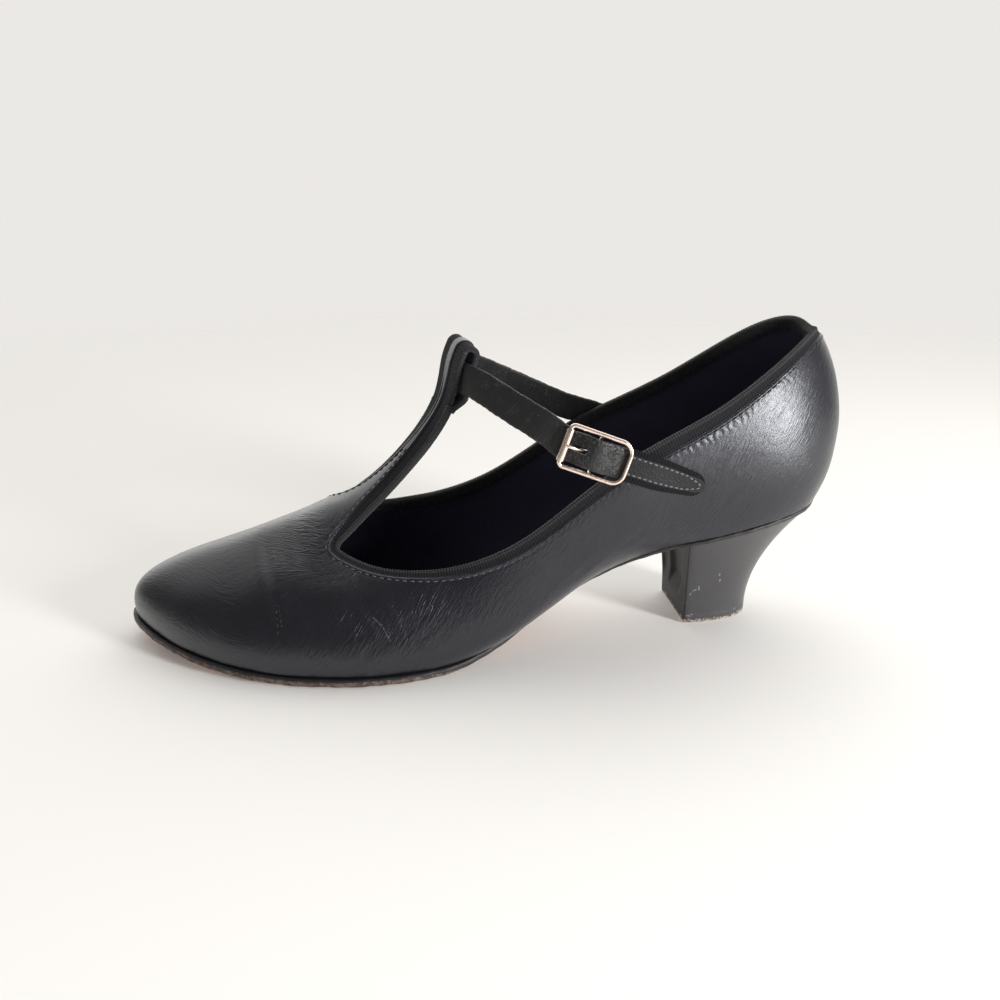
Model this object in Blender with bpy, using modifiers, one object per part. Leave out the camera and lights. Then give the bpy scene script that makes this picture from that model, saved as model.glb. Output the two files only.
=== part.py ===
"""Left T-strap dance shoe with a Cuban heel, buckled at the outer side of the ankle.

Every size below is in millimetres and is scaled to metres when a mesh is made. The shoe lies along X with
its toe towards -X, its outer (lateral) side faces -Y, and +Z is up. "along" is a distance forward of the
back of the heel, so X = -along until the finished shoe is centred over the origin.
"""

import collections
import math

import bmesh
import bpy
import numpy as np
from mathutils import Matrix, Vector
from mathutils.bvhtree import BVHTree

MM = 0.001
UP = np.array([0.0, 0.0, 1.0])
INWARD_SIDE = np.array([0.0, 1.0, 0.0])

# Driving sizes of the last
SHOE_LENGTH = 250.0
BALL_WIDTH = 80.0
BACK_HEIGHT = 58.0
SEAT_FRONT_LIFT = 33.4
SEAT_SLOPE = 0.22
TOE_SPRING = 6.5

# Where the bottom changes, along the shoe
BREAST_ALONG = 57.0
FLAT_REAR_ALONG = 146.0
FLAT_FRONT_ALONG = 187.0
THIN_SOLE_ALONG = 104.0

# Thicknesses and clearances
WALL = 1.8
GAP = 0.3
LOWER_GAP = 0.4
SOLE_FRONT = 2.7
SOLE_REAR = 1.6
INSOLE = 1.6
RIBBON = 0.6
RIBBON_DEPTH = 4.2

# Overhang of the sole beyond the upper's lower edge
OVERHANG_TOE = 1.3
OVERHANG_WAIST = -1.0
OVERHANG_SEAT = -0.3
HEEL_INSET = 1.4

# The T-bar and the loop at its top
TBAR_FILLET = 8.0
TBAR_CORNER = 1.8
TBAR_FLARE = 7.2
TBAR_FLARE_LENGTH = 36.0
TBAR_FLARE_POWER = 2.2
TBAR_BASE_TILT = math.radians(8.0)
TBAR_TILT = math.radians(15.0)
TBAR_TWIST_LENGTH = 40.0
TBAR_CURVATURE = 0.02
TBAR_BLEND = 14.0
LOOP_TAIL = 20.0
LOOP_GAP = 1.1

# The ankle strap, its tab and its buckle
STRAP_WIDTH = 10.0
STRAP_THICK = 1.4
TAB_WIDTH = 10.4
TAB_TIP_WIDTH = 7.6
TAB_THICK = 0.9
BUCKLE_LENGTH = 22.0
BUCKLE_WIDTH = 14.8
BUCKLE_WIRE = 0.8
BUCKLE_LEVEL = 4.4
BUCKLE_SLOPE = math.radians(21.0)
BUCKLE_ALONG = 93.0
BUCKLE_HEIGHT = 70.5
BAR_LEVEL = 2.6
BAR_RADIUS = 0.6
ROLLER_RADIUS = 1.25
ROLLER_WALL = 0.35
PRONG_RADIUS = 0.5

# The heel
HEEL_BASE_BACK = 28.0
HEEL_BASE_FRONT = 54.5
HEEL_BASE_HALF = 14.2
HEEL_CURVE = 1.9
HEEL_SQUARENESS = 2.6
TOP_PIECE = 3.0
LIP_WIDTH = 1.6
LIP_DEPTH = 1.0
RECESS_DEPTH = 1.6
RECESS_SHARE = 0.42

# How finely the curved pieces are cut
COLUMNS_PER_SECTION = 3
WALL_ROWS = 10
SOLE_SECTIONS = 50
SOLE_STRIPS = 4

# Sections from the heel's back round the outer side to the toe, and the same for the inner side.
# Columns: lower edge along and across, top edge along, across and rise above the sole.
# Along is in percent of SHOE_LENGTH, across in percent of BALL_WIDTH and rise in percent of BACK_HEIGHT.
OUTER_SECTIONS = (
    (2.8, 0.0, 4.3, 0.6, 100.0),  # heel back
    (4.7, -19.2, 6.0, -12.6, 101.2),  # heel corner
    (11.6, -29.4, 13.0, -27.0, 90.6),  # heel side
    (22.0, -29.4, 22.8, -35.4, 75.8),  # heel breast
    (32.0, -23.0, 31.2, -39.4, 71.6),  # rear of the waist
    (40.8, -25.0, 39.2, -40.6, 65.0),  # waist
    (48.8, -39.0, 47.2, -41.3, 56.7),  # front of the arch
    (56.8, -47.8, 55.6, -38.8, 53.4),  # rear of the ball
    (66.0, -51.9, 63.2, -33.1, 52.2),  # ball
    (76.0, -47.5, 68.2, -25.6, 56.4),  # front of the ball
    (84.8, -37.5, 70.6, -19.4, 62.2),  # side of the vamp
    (92.4, -21.9, 71.2, -11.3, 70.0),  # front of the vamp
    (97.6, -5.0, 71.4, -4.4, 74.7),  # corner of the toe
    (99.4, 7.5, 71.4, 1.9, 76.7),  # toe
)
INNER_SECTIONS = (
    (2.8, 0.0, 4.3, 0.6, 100.0),  # heel back
    (4.7, 19.2, 5.2, 13.1, 104.3),  # heel corner
    (11.6, 29.4, 11.2, 25.6, 99.5),  # heel side
    (22.0, 28.1, 22.4, 35.0, 79.0),  # heel breast
    (32.0, 18.8, 31.2, 39.4, 73.1),  # rear of the waist
    (41.6, 17.5, 39.6, 41.3, 70.3),  # waist
    (50.4, 27.5, 48.0, 41.3, 65.0),  # front of the arch
    (59.2, 39.4, 56.0, 39.4, 62.6),  # rear of the ball
    (68.8, 46.3, 63.2, 36.3, 60.9),  # ball
    (77.6, 46.9, 68.2, 30.0, 64.3),  # front of the ball
    (85.6, 41.9, 70.6, 23.1, 70.3),  # side of the vamp
    (92.8, 33.1, 71.3, 15.6, 74.7),  # front of the vamp
    (97.6, 21.3, 71.4, 8.8, 76.4),  # corner of the toe
    (99.4, 7.5, 71.4, 1.9, 76.7),  # toe
)
# Fullness of the wall at each of those sections, in millimetres but for the reach.
# Columns: lean and rise of the lower handle, reach of the upper handle as a share of the way to the lower
# edge, and the lean and drop of the upper handle.
WALL_FULLNESS = (
    (7.6, 14.0, 0.0, 14.5, 20.0),  # heel back
    (6.5, 14.0, 0.0, 11.0, 20.0),  # heel corner
    (5.5, 14.0, 0.0, 5.0, 18.0),  # heel side
    (7.0, 10.0, 0.0, 3.0, 15.0),  # heel breast
    (15.0, 6.0, 0.0, 2.2, 14.0),  # rear of the waist
    (14.5, 4.5, 0.0, 1.8, 13.0),  # waist
    (9.0, 5.5, 0.0, 1.8, 11.0),  # front of the arch
    (4.5, 8.0, 0.3, 2.0, 7.5),  # rear of the ball
    (2.8, 10.5, 0.45, 1.5, 6.5),  # ball
    (2.8, 12.0, 0.5, 1.0, 8.0),  # front of the ball
    (3.2, 13.5, 0.56, 1.0, 11.0),  # side of the vamp
    (3.4, 17.5, 0.62, 0.5, 17.7),  # front of the vamp
    (3.4, 19.5, 0.67, 0.0, 20.3),  # corner of the toe
    (3.4, 20.0, 0.68, 0.0, 20.8),  # toe
)
# Places round the shoe between which the T-bar grows out of the vamp, counted in sections
TBAR_SECTIONS = (9.667, 16.0)
# The T-bar's middle line above the throat: along, height and half width, in millimetres
TBAR_PATH = (
    (178.5, 47.4, 8.8),
    (169.5, 51.0, 8.4),
    (161.5, 56.3, 7.9),
    (153.3, 63.8, 7.4),
    (145.2, 73.2, 7.2),
    (139.6, 81.8, 7.4),
    (137.2, 89.5, 7.9),
    (135.8, 95.5, 8.2),
    (134.0, 100.0, 8.2),
)
TBAR_ROW = collections.namedtuple("TBAR_ROW", "middle way face across outer inner curvature stop")
LOOP_HEIGHT = 91.6
RIBBON_TOP = 82.0
# Free run of the strap between the loop and the quarter, on the inner side and on the outer side.
# Columns: along, across, height, and the way it faces: degrees round from the toe and degrees upward.
STRAP_INNER_RUN = (
    (108.5, 30.6, 79.4, 75.0, 16.0),
    (119.5, 25.0, 85.2, 62.0, 20.0),
    (129.5, 16.0, 90.4, 48.0, 18.0),
)
STRAP_OUTER_RUN = (
    (126.6, -13.4, 89.0, -46.0, 18.0),
    (117.4, -22.4, 84.0, -60.0, 20.0),
    (108.0, -29.4, 78.7, -72.0, 16.0),
)
STRAP_END_ALONG = 57.0
STRAP_END_HEIGHT = 59.0


def cubic_through(values, closed):
    """Smooth cubic curve through the rows of values, one row at each whole number of its parameter."""
    values = np.asarray(values, float)
    count = len(values)
    rows = np.arange(count)
    matrix = np.zeros((count, count))
    matrix[rows, rows] = 4.0
    matrix[rows, (rows + 1) % count] = 1.0
    matrix[rows, (rows - 1) % count] = 1.0
    turn = 6.0 * (np.roll(values, -1, 0) - 2.0 * values + np.roll(values, 1, 0))
    if not closed:
        for end in (0, count - 1):
            matrix[end] = 0.0
            matrix[end, end] = 1.0
            turn[end] = 0.0
    second = np.linalg.solve(matrix, turn)

    def curve(parameter):
        parameter = np.asarray(parameter, float)
        if closed:
            parameter = parameter % count
        index = np.floor(parameter).astype(int)
        index = np.clip(index, 0, count - 1 if closed else count - 2)
        after = (index + 1) % count
        share = (parameter - index)[..., None]
        rest = 1.0 - share
        straight = rest * values[index] + share * values[after]
        return straight + ((rest**3 - rest) * second[index] + (share**3 - share) * second[after]) / 6.0

    return curve


def distance_along(points):
    """Distance of each point from the first, along the line through them."""
    steps = np.linalg.norm(np.diff(points, axis=0), axis=1)
    return np.concatenate([[0.0], np.cumsum(steps)])


def smooth_step(low, high, value):
    share = np.clip((np.asarray(value, float) - low) / (high - low), 0.0, 1.0)
    return share * share * (3.0 - 2.0 * share)


def unit(vectors):
    vectors = np.asarray(vectors, float)
    return vectors / np.linalg.norm(vectors, axis=-1, keepdims=True)


def sole_bottom(along):
    """Height of the sole's lower face: toe spring, flat tread, shank curve and straight heel seat."""
    along = np.asarray(along, float)
    shank = FLAT_REAR_ALONG - BREAST_ALONG
    share = np.clip((FLAT_REAR_ALONG - along) / shank, 0.0, 1.0)
    rise = share**2 * (3.0 - 2.0 * share) * SEAT_FRONT_LIFT
    rise += (share**3 - share**2) * shank * SEAT_SLOPE
    seat = np.clip(BREAST_ALONG - along, 0.0, None) * SEAT_SLOPE
    toe = np.clip((along - FLAT_FRONT_ALONG) / (SHOE_LENGTH - FLAT_FRONT_ALONG), 0.0, None)
    return rise + seat + TOE_SPRING * toe**1.8


def sole_top(along):
    """Height of the sole's upper face."""
    thickness = SOLE_REAR + (SOLE_FRONT - SOLE_REAR) * smooth_step(THIN_SOLE_ALONG, FLAT_REAR_ALONG, along)
    return sole_bottom(along) + thickness


def section_table():
    """All sections once round the shoe: outer side from heel to toe, then inner side back to the heel."""
    outer = np.array(OUTER_SECTIONS)
    inner = np.array(INNER_SECTIONS)
    fullness = np.array(WALL_FULLNESS)
    edges = np.concatenate([outer, inner[-2:0:-1]])
    wall = np.concatenate([fullness, fullness[-2:0:-1]])
    edges = edges * np.array([SHOE_LENGTH, BALL_WIDTH, SHOE_LENGTH, BALL_WIDTH, BACK_HEIGHT]) / 100.0
    return np.concatenate([edges, wall], axis=1)


SECTION_COUNT = len(OUTER_SECTIONS) + len(INNER_SECTIONS) - 2
SECTION_CURVE = cubic_through(section_table(), closed=True)
PLAN_STEP = 1e-3


def lower_edge(u):
    """Lower edge of the upper in plan, and its outward direction."""
    row = SECTION_CURVE(u)
    ahead = SECTION_CURVE(u + PLAN_STEP)[..., :2]
    behind = SECTION_CURVE(u - PLAN_STEP)[..., :2]
    tangent = (ahead - behind) * np.array([-1.0, 1.0])
    plan = np.stack([-row[..., 0], row[..., 1]], -1)
    outward = unit(np.stack([tangent[..., 1], -tangent[..., 0]], -1)) * -1.0
    return plan, outward


def wall_handles(u):
    """The four points of each wall section, from its lower edge to its top edge."""
    row = SECTION_CURVE(u)
    plan, outward = lower_edge(u)
    low = np.concatenate([plan, (sole_top(row[..., 0]) + LOWER_GAP)[..., None]], -1)
    top_plan = np.stack([-row[..., 2], row[..., 3]], -1)
    top = np.concatenate([top_plan, (sole_top(row[..., 2]) + row[..., 4])[..., None]], -1)
    out = np.concatenate([outward, np.zeros(outward.shape[:-1] + (1,))], -1)
    lean_low, rise_low, reach, lean_top, drop = (row[..., k, None] for k in range(5, 10))
    towards_low = (low - top) * np.array([1.0, 1.0, 0.0])
    first = low + out * lean_low + UP * rise_low
    second = top + towards_low * reach + out * lean_top - UP * drop
    return low, first, second, top


def wall_point(u, v):
    """Point of the upper's outer face: v runs from 0 at the lower edge to 1 at the top edge, and on past
    the top edge in a straight line."""
    u, v = np.broadcast_arrays(np.asarray(u, float), np.asarray(v, float))
    low, first, second, top = wall_handles(u)
    inside = np.minimum(v, 1.0)[..., None]
    rest = 1.0 - inside
    point = rest**3 * low + 3 * rest**2 * inside * first + 3 * rest * inside**2 * second + inside**3 * top
    return point + 3.0 * (top - second) * np.clip(v - 1.0, 0.0, None)[..., None]


def wall_normal(u, v):
    """Outward direction of the upper's outer face."""
    step = 1e-3
    round_shoe = wall_point(u + step, v) - wall_point(u - step, v)
    upward = wall_point(u, v + step) - wall_point(u, v - step)
    return unit(np.cross(upward, round_shoe))


def wall_at(along, height, side):
    """(u, v) of the wall seen from one side at a place along the shoe and a height, by Newton's method."""
    along, height = np.broadcast_arrays(np.asarray(along, float), np.asarray(height, float))
    u = np.interp(along, [14.0, 34.0, 57.0, 78.0, 98.0, 118.0, 139.0], [1.0, 2.0, 3.0, 4.0, 5.0, 6.0, 7.0])
    if side > 0:
        u = SECTION_COUNT - u
    v = np.full(u.shape, 0.8)
    step = 1e-4
    for _ in range(30):
        here = wall_point(u, v)
        by_u = (wall_point(u + step, v) - here) / step
        by_v = (wall_point(u, v + step) - here) / step
        miss_x = -along - here[..., 0]
        miss_z = height - here[..., 2]
        scale = by_u[..., 0] * by_v[..., 2] - by_v[..., 0] * by_u[..., 2]
        u = u + np.clip((miss_x * by_v[..., 2] - by_v[..., 0] * miss_z) / scale, -0.5, 0.5)
        v = v + np.clip((by_u[..., 0] * miss_z - miss_x * by_u[..., 2]) / scale, -0.3, 0.3)
    return u, v


def corner_round(radius, stop):
    """Widening of a strip next to its root: a quarter round of the given radius."""
    short = max(radius - stop, 0.0)
    return radius - math.sqrt(radius**2 - short**2)


def tbar_curve():
    """Length of the T-bar, and its row at any distance from the throat. The T-bar is tilted so that its
    inner edge stands higher, its edges bend down a little, and its outer edge flares towards the throat."""
    curve = cubic_through([(-along, 0.0, height, half) for along, height, half in TBAR_PATH], closed=False)
    dense = curve(np.linspace(0.0, len(TBAR_PATH) - 1.0, 400))
    reach = distance_along(dense[:, :3])
    full = reach[-1]

    def place(stop):
        return np.array([np.interp(stop, reach, dense[:, k]) for k in range(4)])

    def row(stop):
        here = place(stop)
        way = unit(place(min(stop + 0.5, full))[:3] - place(max(stop - 0.5, 0.0))[:3])
        upright = np.array([-way[2], 0.0, way[0]])
        tilt = TBAR_BASE_TILT + (TBAR_TILT - TBAR_BASE_TILT) * float(smooth_step(0.0, TBAR_TWIST_LENGTH, stop))
        across = INWARD_SIDE * math.cos(tilt) + upright * math.sin(tilt)
        face = upright * math.cos(tilt) - INWARD_SIDE * math.sin(tilt)
        flare = TBAR_FLARE * max(0.0, 1.0 - stop / TBAR_FLARE_LENGTH) ** TBAR_FLARE_POWER
        outer = here[3] + corner_round(TBAR_CORNER, stop) + flare
        inner = here[3] + corner_round(TBAR_FILLET, stop)
        curvature = TBAR_CURVATURE * (1.0 - float(smooth_step(0.5 * full, 0.8 * full, stop)))
        return TBAR_ROW(here[:3], way, face, across, outer, inner, curvature, stop)

    return full, row


def tbar_line():
    """Rows up the T-bar, over the fold at its top and down the loop's tail behind the strap."""
    full, row = tbar_curve()
    corner = TBAR_FILLET * (1.0 - np.cos(np.linspace(0.0, math.pi / 2, 5)))
    stops = np.concatenate([corner, np.linspace(corner[-1], full, 13)[1:]])
    rows = [row(stop) for stop in stops]
    top = rows[-1]
    radius = WALL + LOOP_GAP + STRAP_THICK / 2
    centre = top.middle - top.face * radius
    for angle in np.linspace(0.0, math.pi, 7)[1:]:
        face = top.face * math.cos(angle) + top.way * math.sin(angle)
        way = top.way * math.cos(angle) - top.face * math.sin(angle)
        rows.append(TBAR_ROW(centre + face * radius, way, face, top.across, top.outer, top.inner, 0.0,
                             full + radius * angle))
    for share in np.linspace(0.0, 1.0, 6)[1:]:
        beside = row(full - LOOP_TAIL * share)
        closing = (STRAP_THICK + 2.0 * LOOP_GAP - GAP) * float(smooth_step(0.75, 1.0, share))
        middle = beside.middle - beside.face * (2.0 * radius - closing)
        stop = rows[-1].stop + LOOP_TAIL / 5
        rows.append(TBAR_ROW(middle, -beside.way, -beside.face, beside.across, top.outer, top.inner, 0.0, stop))
    return rows


def tbar_points(base):
    """Grid of the T-bar's outer face. Its first row is the given base row, on the throat of the vamp, which
    runs from the outer to the inner side."""
    spread = distance_along(base)
    across = spread / spread[-1]
    rows = tbar_line()

    def strip(row):
        place = across * (row.outer + row.inner) - row.outer
        return row.middle + np.outer(place, row.across) - np.outer(place**2 * row.curvature, row.face)

    first = strip(rows[0])
    grid = [base]
    for row in rows[1:]:
        fade = 1.0 - float(smooth_step(0.0, TBAR_BLEND, row.stop))
        grid.append(strip(row) + (base - first) * fade)
    return np.array(grid), rows


def grid_faces(rows, columns, closed, offset=0):
    """Quads of a grid whose points are numbered row by row."""
    faces = []
    for row in range(rows - 1):
        for column in range(columns if closed else columns - 1):
            after = (column + 1) % columns
            low, high = offset + row * columns, offset + (row + 1) * columns
            faces.append((low + column, high + column, high + after, low + after))
    return faces


def new_object(name, points, faces, material, smooth_angle=40.0):
    """Mesh object from points in millimetres. Its faces are turned outwards where it is closed."""
    mesh = bpy.data.meshes.new(name)
    mesh.from_pydata([tuple(p) for p in np.asarray(points) * MM], [], [tuple(f) for f in faces])
    obj = bpy.data.objects.new(name, mesh)
    return finish_object(obj, material, smooth_angle)


def finish_object(obj, material, smooth_angle=40.0):
    SHOE.objects.link(obj)
    obj.parent = ROOT
    obj.data.materials.clear()
    obj.data.materials.append(material)
    if obj.type == "MESH":
        obj.data.shade_smooth()
        obj.data.set_sharp_from_angle(angle=math.radians(smooth_angle))
    return obj


def turn_outwards(obj):
    cage = bmesh.new()
    cage.from_mesh(obj.data)
    bmesh.ops.recalc_face_normals(cage, faces=cage.faces)
    cage.to_mesh(obj.data)
    cage.free()
    return obj


def loft(name, sections, material, smooth_angle=40.0):
    """Solid through closed sections of equal length, capped at both ends."""
    sections = np.asarray(sections)
    rows, columns = sections.shape[:2]
    faces = grid_faces(rows, columns, closed=True)
    faces.append(tuple(range(columns)))
    faces.append(tuple((rows - 1) * columns + k for k in range(columns)))
    return turn_outwards(new_object(name, sections.reshape(-1, 3), faces, material, smooth_angle))


def thicken(obj, thickness, offset):
    """Gives an open sheet its thickness. An offset of -1 keeps the sheet as the outer face."""
    wall = obj.modifiers.new("wall", "SOLIDIFY")
    wall.thickness = thickness * MM
    wall.offset = offset
    return obj


def material(name, colour, roughness, metallic=0.0):
    made = bpy.data.materials.new(name)
    made.use_nodes = True
    shader = made.node_tree.nodes["Principled BSDF"]
    shader.inputs["Base Color"].default_value = (*colour, 1.0)
    shader.inputs["Roughness"].default_value = roughness
    shader.inputs["Metallic"].default_value = metallic
    return made


def make_upper(leather):
    """Vamp, quarters and T-bar as one hollow leather wall, open below, at the collar and at both throats.
    Returns its outer face as points and faces, the edge that the ribbon follows, and the way it faces."""
    columns = SECTION_COUNT * COLUMNS_PER_SECTION
    u = np.arange(columns) / COLUMNS_PER_SECTION
    v = np.linspace(0.0, 1.0, WALL_ROWS + 1)
    ring = wall_point(u[None, :], v[:, None])
    first, last = (round(section * COLUMNS_PER_SECTION) for section in TBAR_SECTIONS)
    base = ring[-1, first : last + 1]
    bar, rows = tbar_points(base)
    bar_columns = last - first + 1
    points = np.concatenate([ring.reshape(-1, 3), bar[1:].reshape(-1, 3)])
    faces = grid_faces(WALL_ROWS + 1, columns, closed=True)
    top = WALL_ROWS * columns + first
    bar_start = (WALL_ROWS + 1) * columns
    for column in range(bar_columns - 1):
        low = top + column
        high = bar_start + column
        faces.append((low, high, high + 1, low + 1))
    faces += grid_faces(len(rows) - 1, bar_columns, closed=False, offset=bar_start)
    upper = new_object("upper", points, faces, leather, smooth_angle=60.0)
    outward = np.empty(len(points) * 3, np.float32)
    upper.data.vertex_normals.foreach_get("vector", outward)
    edge = throat_edge(rows, columns, first, last, bar_columns, bar_start)
    thicken(upper, WALL, -1.0)
    return points, faces, edge, outward.reshape(-1, 3)[edge].astype(float)


def throat_edge(rows, columns, first, last, bar_columns, bar_start):
    """Point numbers of the open edge: down the T-bar's outer edge, round the collar by way of the heel,
    and up the T-bar's inner edge."""
    count = sum(1 for row in rows[1:] if row.middle[2] < RIBBON_TOP and row.face[0] < 0.0)
    outer = [bar_start + row * bar_columns for row in range(count)]
    inner = [number + bar_columns - 1 for number in outer]
    top = WALL_ROWS * columns
    collar = [top + column for column in range(first, -1, -1)]
    collar += [top + column for column in range(columns - 1, last - 1, -1)]
    return outer[::-1] + collar + inner


def make_ribbon(points, faces, edge_points, outward, ribbon):
    """Grosgrain ribbon that caps the open edge and lies inside it, at an even distance from the wall."""
    edge = points[edge_points]
    way = unit(np.gradient(edge, axis=0))
    beyond = unit(np.cross(way, outward))
    if beyond[len(beyond) // 2, 2] < 0:
        beyond = -beyond
    turning = 1.0 - np.sum(way[:-1] * way[1:], axis=1)
    turning = np.maximum(np.append(turning, 0.0), np.append(0.0, turning))
    clearances = GAP * (1.0 + 2.0 * smooth_step(0.0, 0.08, turning))
    wall = BVHTree.FromPolygons([tuple(p) for p in points], [tuple(f) for f in faces])
    sections = []
    for p, n, b, clear in zip(edge, outward, beyond, clearances):
        inner = WALL + GAP + clear
        section = [p + b * rise - n * depth for depth, rise in
                   ((GAP, clear), (GAP, clear + RIBBON), (inner + RIBBON, clear + RIBBON))]
        legs = []
        for drop in (0.5, 1.0):
            foot, face, _, _ = wall.find_nearest(Vector(p - b * RIBBON_DEPTH * drop))
            face = unit(np.array(face) * np.sign(np.dot(face, n)) + 0.6 * n)
            legs.append((np.array(foot), face))
        section += [foot - face * (inner + RIBBON) for foot, face in legs]
        section += [foot - face * inner for foot, face in legs[::-1]]
        section.append(p + b * clear - n * inner)
        sections.append(section)
    return loft("topline_ribbon", sections, ribbon)


def bottom_outline(shift):
    """Outer and inner limits of a bottom piece as functions of along. shift moves the upper's lower edge
    outwards, and takes the place along the shoe."""
    u = np.linspace(0.0, SECTION_COUNT, 40 * SECTION_COUNT + 1)
    plan, outward = lower_edge(u)
    moved = plan + outward * np.asarray(shift(-plan[:, 0]))[:, None]
    along, across = -moved[:, 0], moved[:, 1]
    toe, heel = np.argmax(along), np.argmin(along[: len(along) // 4])
    outer = slice(heel, toe + 1)
    inner = slice(len(along) - 1, toe - 1, -1)

    def limits(place):
        low = np.interp(place, along[outer], across[outer])
        high = np.interp(place, along[inner], across[inner])
        return low, high

    return limits, along[heel], along[toe]


def make_bottom_piece(name, shift, lower, upper, finish):
    """Flat piece that follows the bottom of the last between two heights above it."""
    limits, back, front = bottom_outline(shift)
    share = (1.0 - np.cos(np.linspace(0.0, math.pi, SOLE_SECTIONS + 1))) / 2.0
    places = (back + (front - back) * share)[1:-1]
    across = np.linspace(0.0, 1.0, SOLE_STRIPS + 1)
    sections = []
    for place in places:
        low, high = limits(place)
        width = low + (high - low) * across
        under = [(-place, y, float(lower(place))) for y in width]
        over = [(-place, y, float(upper(place))) for y in width[::-1]]
        sections.append(under + over)
    return loft(name, sections, finish)


def overhang(along):
    front = smooth_step(118.0, 150.0, along)
    rear = 1.0 - smooth_step(BREAST_ALONG, BREAST_ALONG + 5.0, along)
    return OVERHANG_WAIST + (OVERHANG_TOE - OVERHANG_WAIST) * front + (OVERHANG_SEAT - OVERHANG_WAIST) * rear


def make_sole(leather):
    return make_bottom_piece("outsole", overhang, sole_bottom, sole_top, leather)


def make_insole(cloth):
    def inset(along):
        return np.full(np.shape(along), -(WALL + 2 * GAP))

    def under(along):
        return sole_top(along) + GAP

    def over(along):
        return sole_top(along) + GAP + INSOLE

    return make_bottom_piece("insole", inset, under, over, cloth)


def heel_ring(share):
    """Section of the heel between its base, share 0, and the seat, share 1: round back, then the breast
    with its lips and recess."""
    limits, back, _ = bottom_outline(lambda along: np.full(np.shape(along), -HEEL_INSET))
    turn = np.linspace(-math.pi / 2, math.pi / 2, 25)
    power = 2.0 / HEEL_SQUARENESS
    base_along = HEEL_BASE_FRONT - (HEEL_BASE_FRONT - HEEL_BASE_BACK) * np.cos(turn) ** power
    base_across = HEEL_BASE_HALF * np.sign(turn) * np.abs(np.sin(turn)) ** power
    seat_along = BREAST_ALONG - (BREAST_ALONG - back) * np.cos(turn)
    low, high = limits(seat_along)
    seat_across = np.where(turn < 0, low, high)
    seat_across[len(turn) // 2] = 0.0
    grown = share**HEEL_CURVE
    along = base_along + (seat_along - base_along) * grown
    across = base_across + (seat_across - base_across) * grown
    front = HEEL_BASE_FRONT + (BREAST_ALONG - HEEL_BASE_FRONT) * grown
    depth = float(smooth_step(0.1, 0.35, share))
    outer, inner = across[0], across[-1]
    lip = LIP_DEPTH * depth
    floor = lip + RECESS_DEPTH * depth
    breast = (
        (inner - LIP_WIDTH, 0.0),
        (inner - LIP_WIDTH - 0.4, lip),
        (inner * RECESS_SHARE, lip),
        (inner * RECESS_SHARE - 0.8, floor),
        (outer * RECESS_SHARE + 0.8, floor),
        (outer * RECESS_SHARE, lip),
        (outer + LIP_WIDTH + 0.4, lip),
        (outer + LIP_WIDTH, 0.0),
    )
    along = np.concatenate([along, [front - inset for _, inset in breast]])
    across = np.concatenate([across, [place for place, _ in breast]])
    seat = sole_bottom(np.minimum(np.concatenate([seat_along, [BREAST_ALONG] * len(breast)]), along + 60.0)) - GAP
    flat_seat = SEAT_FRONT_LIFT + (BREAST_ALONG - along) * SEAT_SLOPE - GAP
    low_level = TOP_PIECE + GAP
    height = low_level + (seat - low_level) * share
    height = np.where(share > 0.999, flat_seat, height)
    return np.stack([-along, across, height], -1)


def make_heel(plastic, worn):
    shares = np.concatenate([np.linspace(0.0, 0.9, 10), [1.0]])
    heel = loft("heel", [heel_ring(share) for share in shares], plastic)
    base = heel_ring(0.0)
    sections = []
    for height in (0.0, TOP_PIECE):
        ring = base.copy()
        ring[:, 2] = height
        sections.append(ring)
    top_piece = loft("heel_top_piece", sections, worn)
    return heel, top_piece


def quarter_frame(along, height, side, level):
    """Points at a level above the quarter's outer face, with its outward direction there."""
    u, v = wall_at(along, height, side)
    normal = wall_normal(u, v)
    return wall_point(u, v) + normal * np.asarray(level)[..., None], normal


class BuckleFrame:
    """Place and directions of the buckle: along the strap towards the heel, upward, and outward."""

    def __init__(self):
        point, normal = quarter_frame(BUCKLE_ALONG, BUCKLE_HEIGHT, -1, np.array(0.0))
        self.origin = point
        self.out = normal
        slope = np.array([math.cos(BUCKLE_SLOPE), 0.0, -math.sin(BUCKLE_SLOPE)])
        self.along = unit(slope - normal * (slope @ normal))
        self.upward = unit(np.cross(self.along, normal))
        if self.upward[2] < 0:
            self.upward = -self.upward

    def point(self, along, upward, out):
        return self.origin + self.along * along + self.upward * upward + self.out * out

    def matrix(self):
        axes = Matrix([self.along, self.upward, self.out]).transposed().to_4x4()
        axes.translation = Vector(self.origin * MM)
        return axes


def ribbon_sheet(name, middle, normal, half_width, finish, thickness, columns=3):
    """Strap made of a sheet that follows a middle line and faces the given way, thickened on both sides."""
    way = unit(np.gradient(middle, axis=0))
    across = unit(np.cross(normal, way))
    spread = np.linspace(-1.0, 1.0, columns)
    points = middle[:, None, :] + across[:, None, :] * (spread[None, :] * half_width[:, None])[..., None]
    faces = grid_faces(len(middle), columns, closed=False)
    sheet = new_object(name, points.reshape(-1, 3), faces, finish, smooth_angle=50.0)
    return thicken(sheet, thickness, 0.0)


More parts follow.
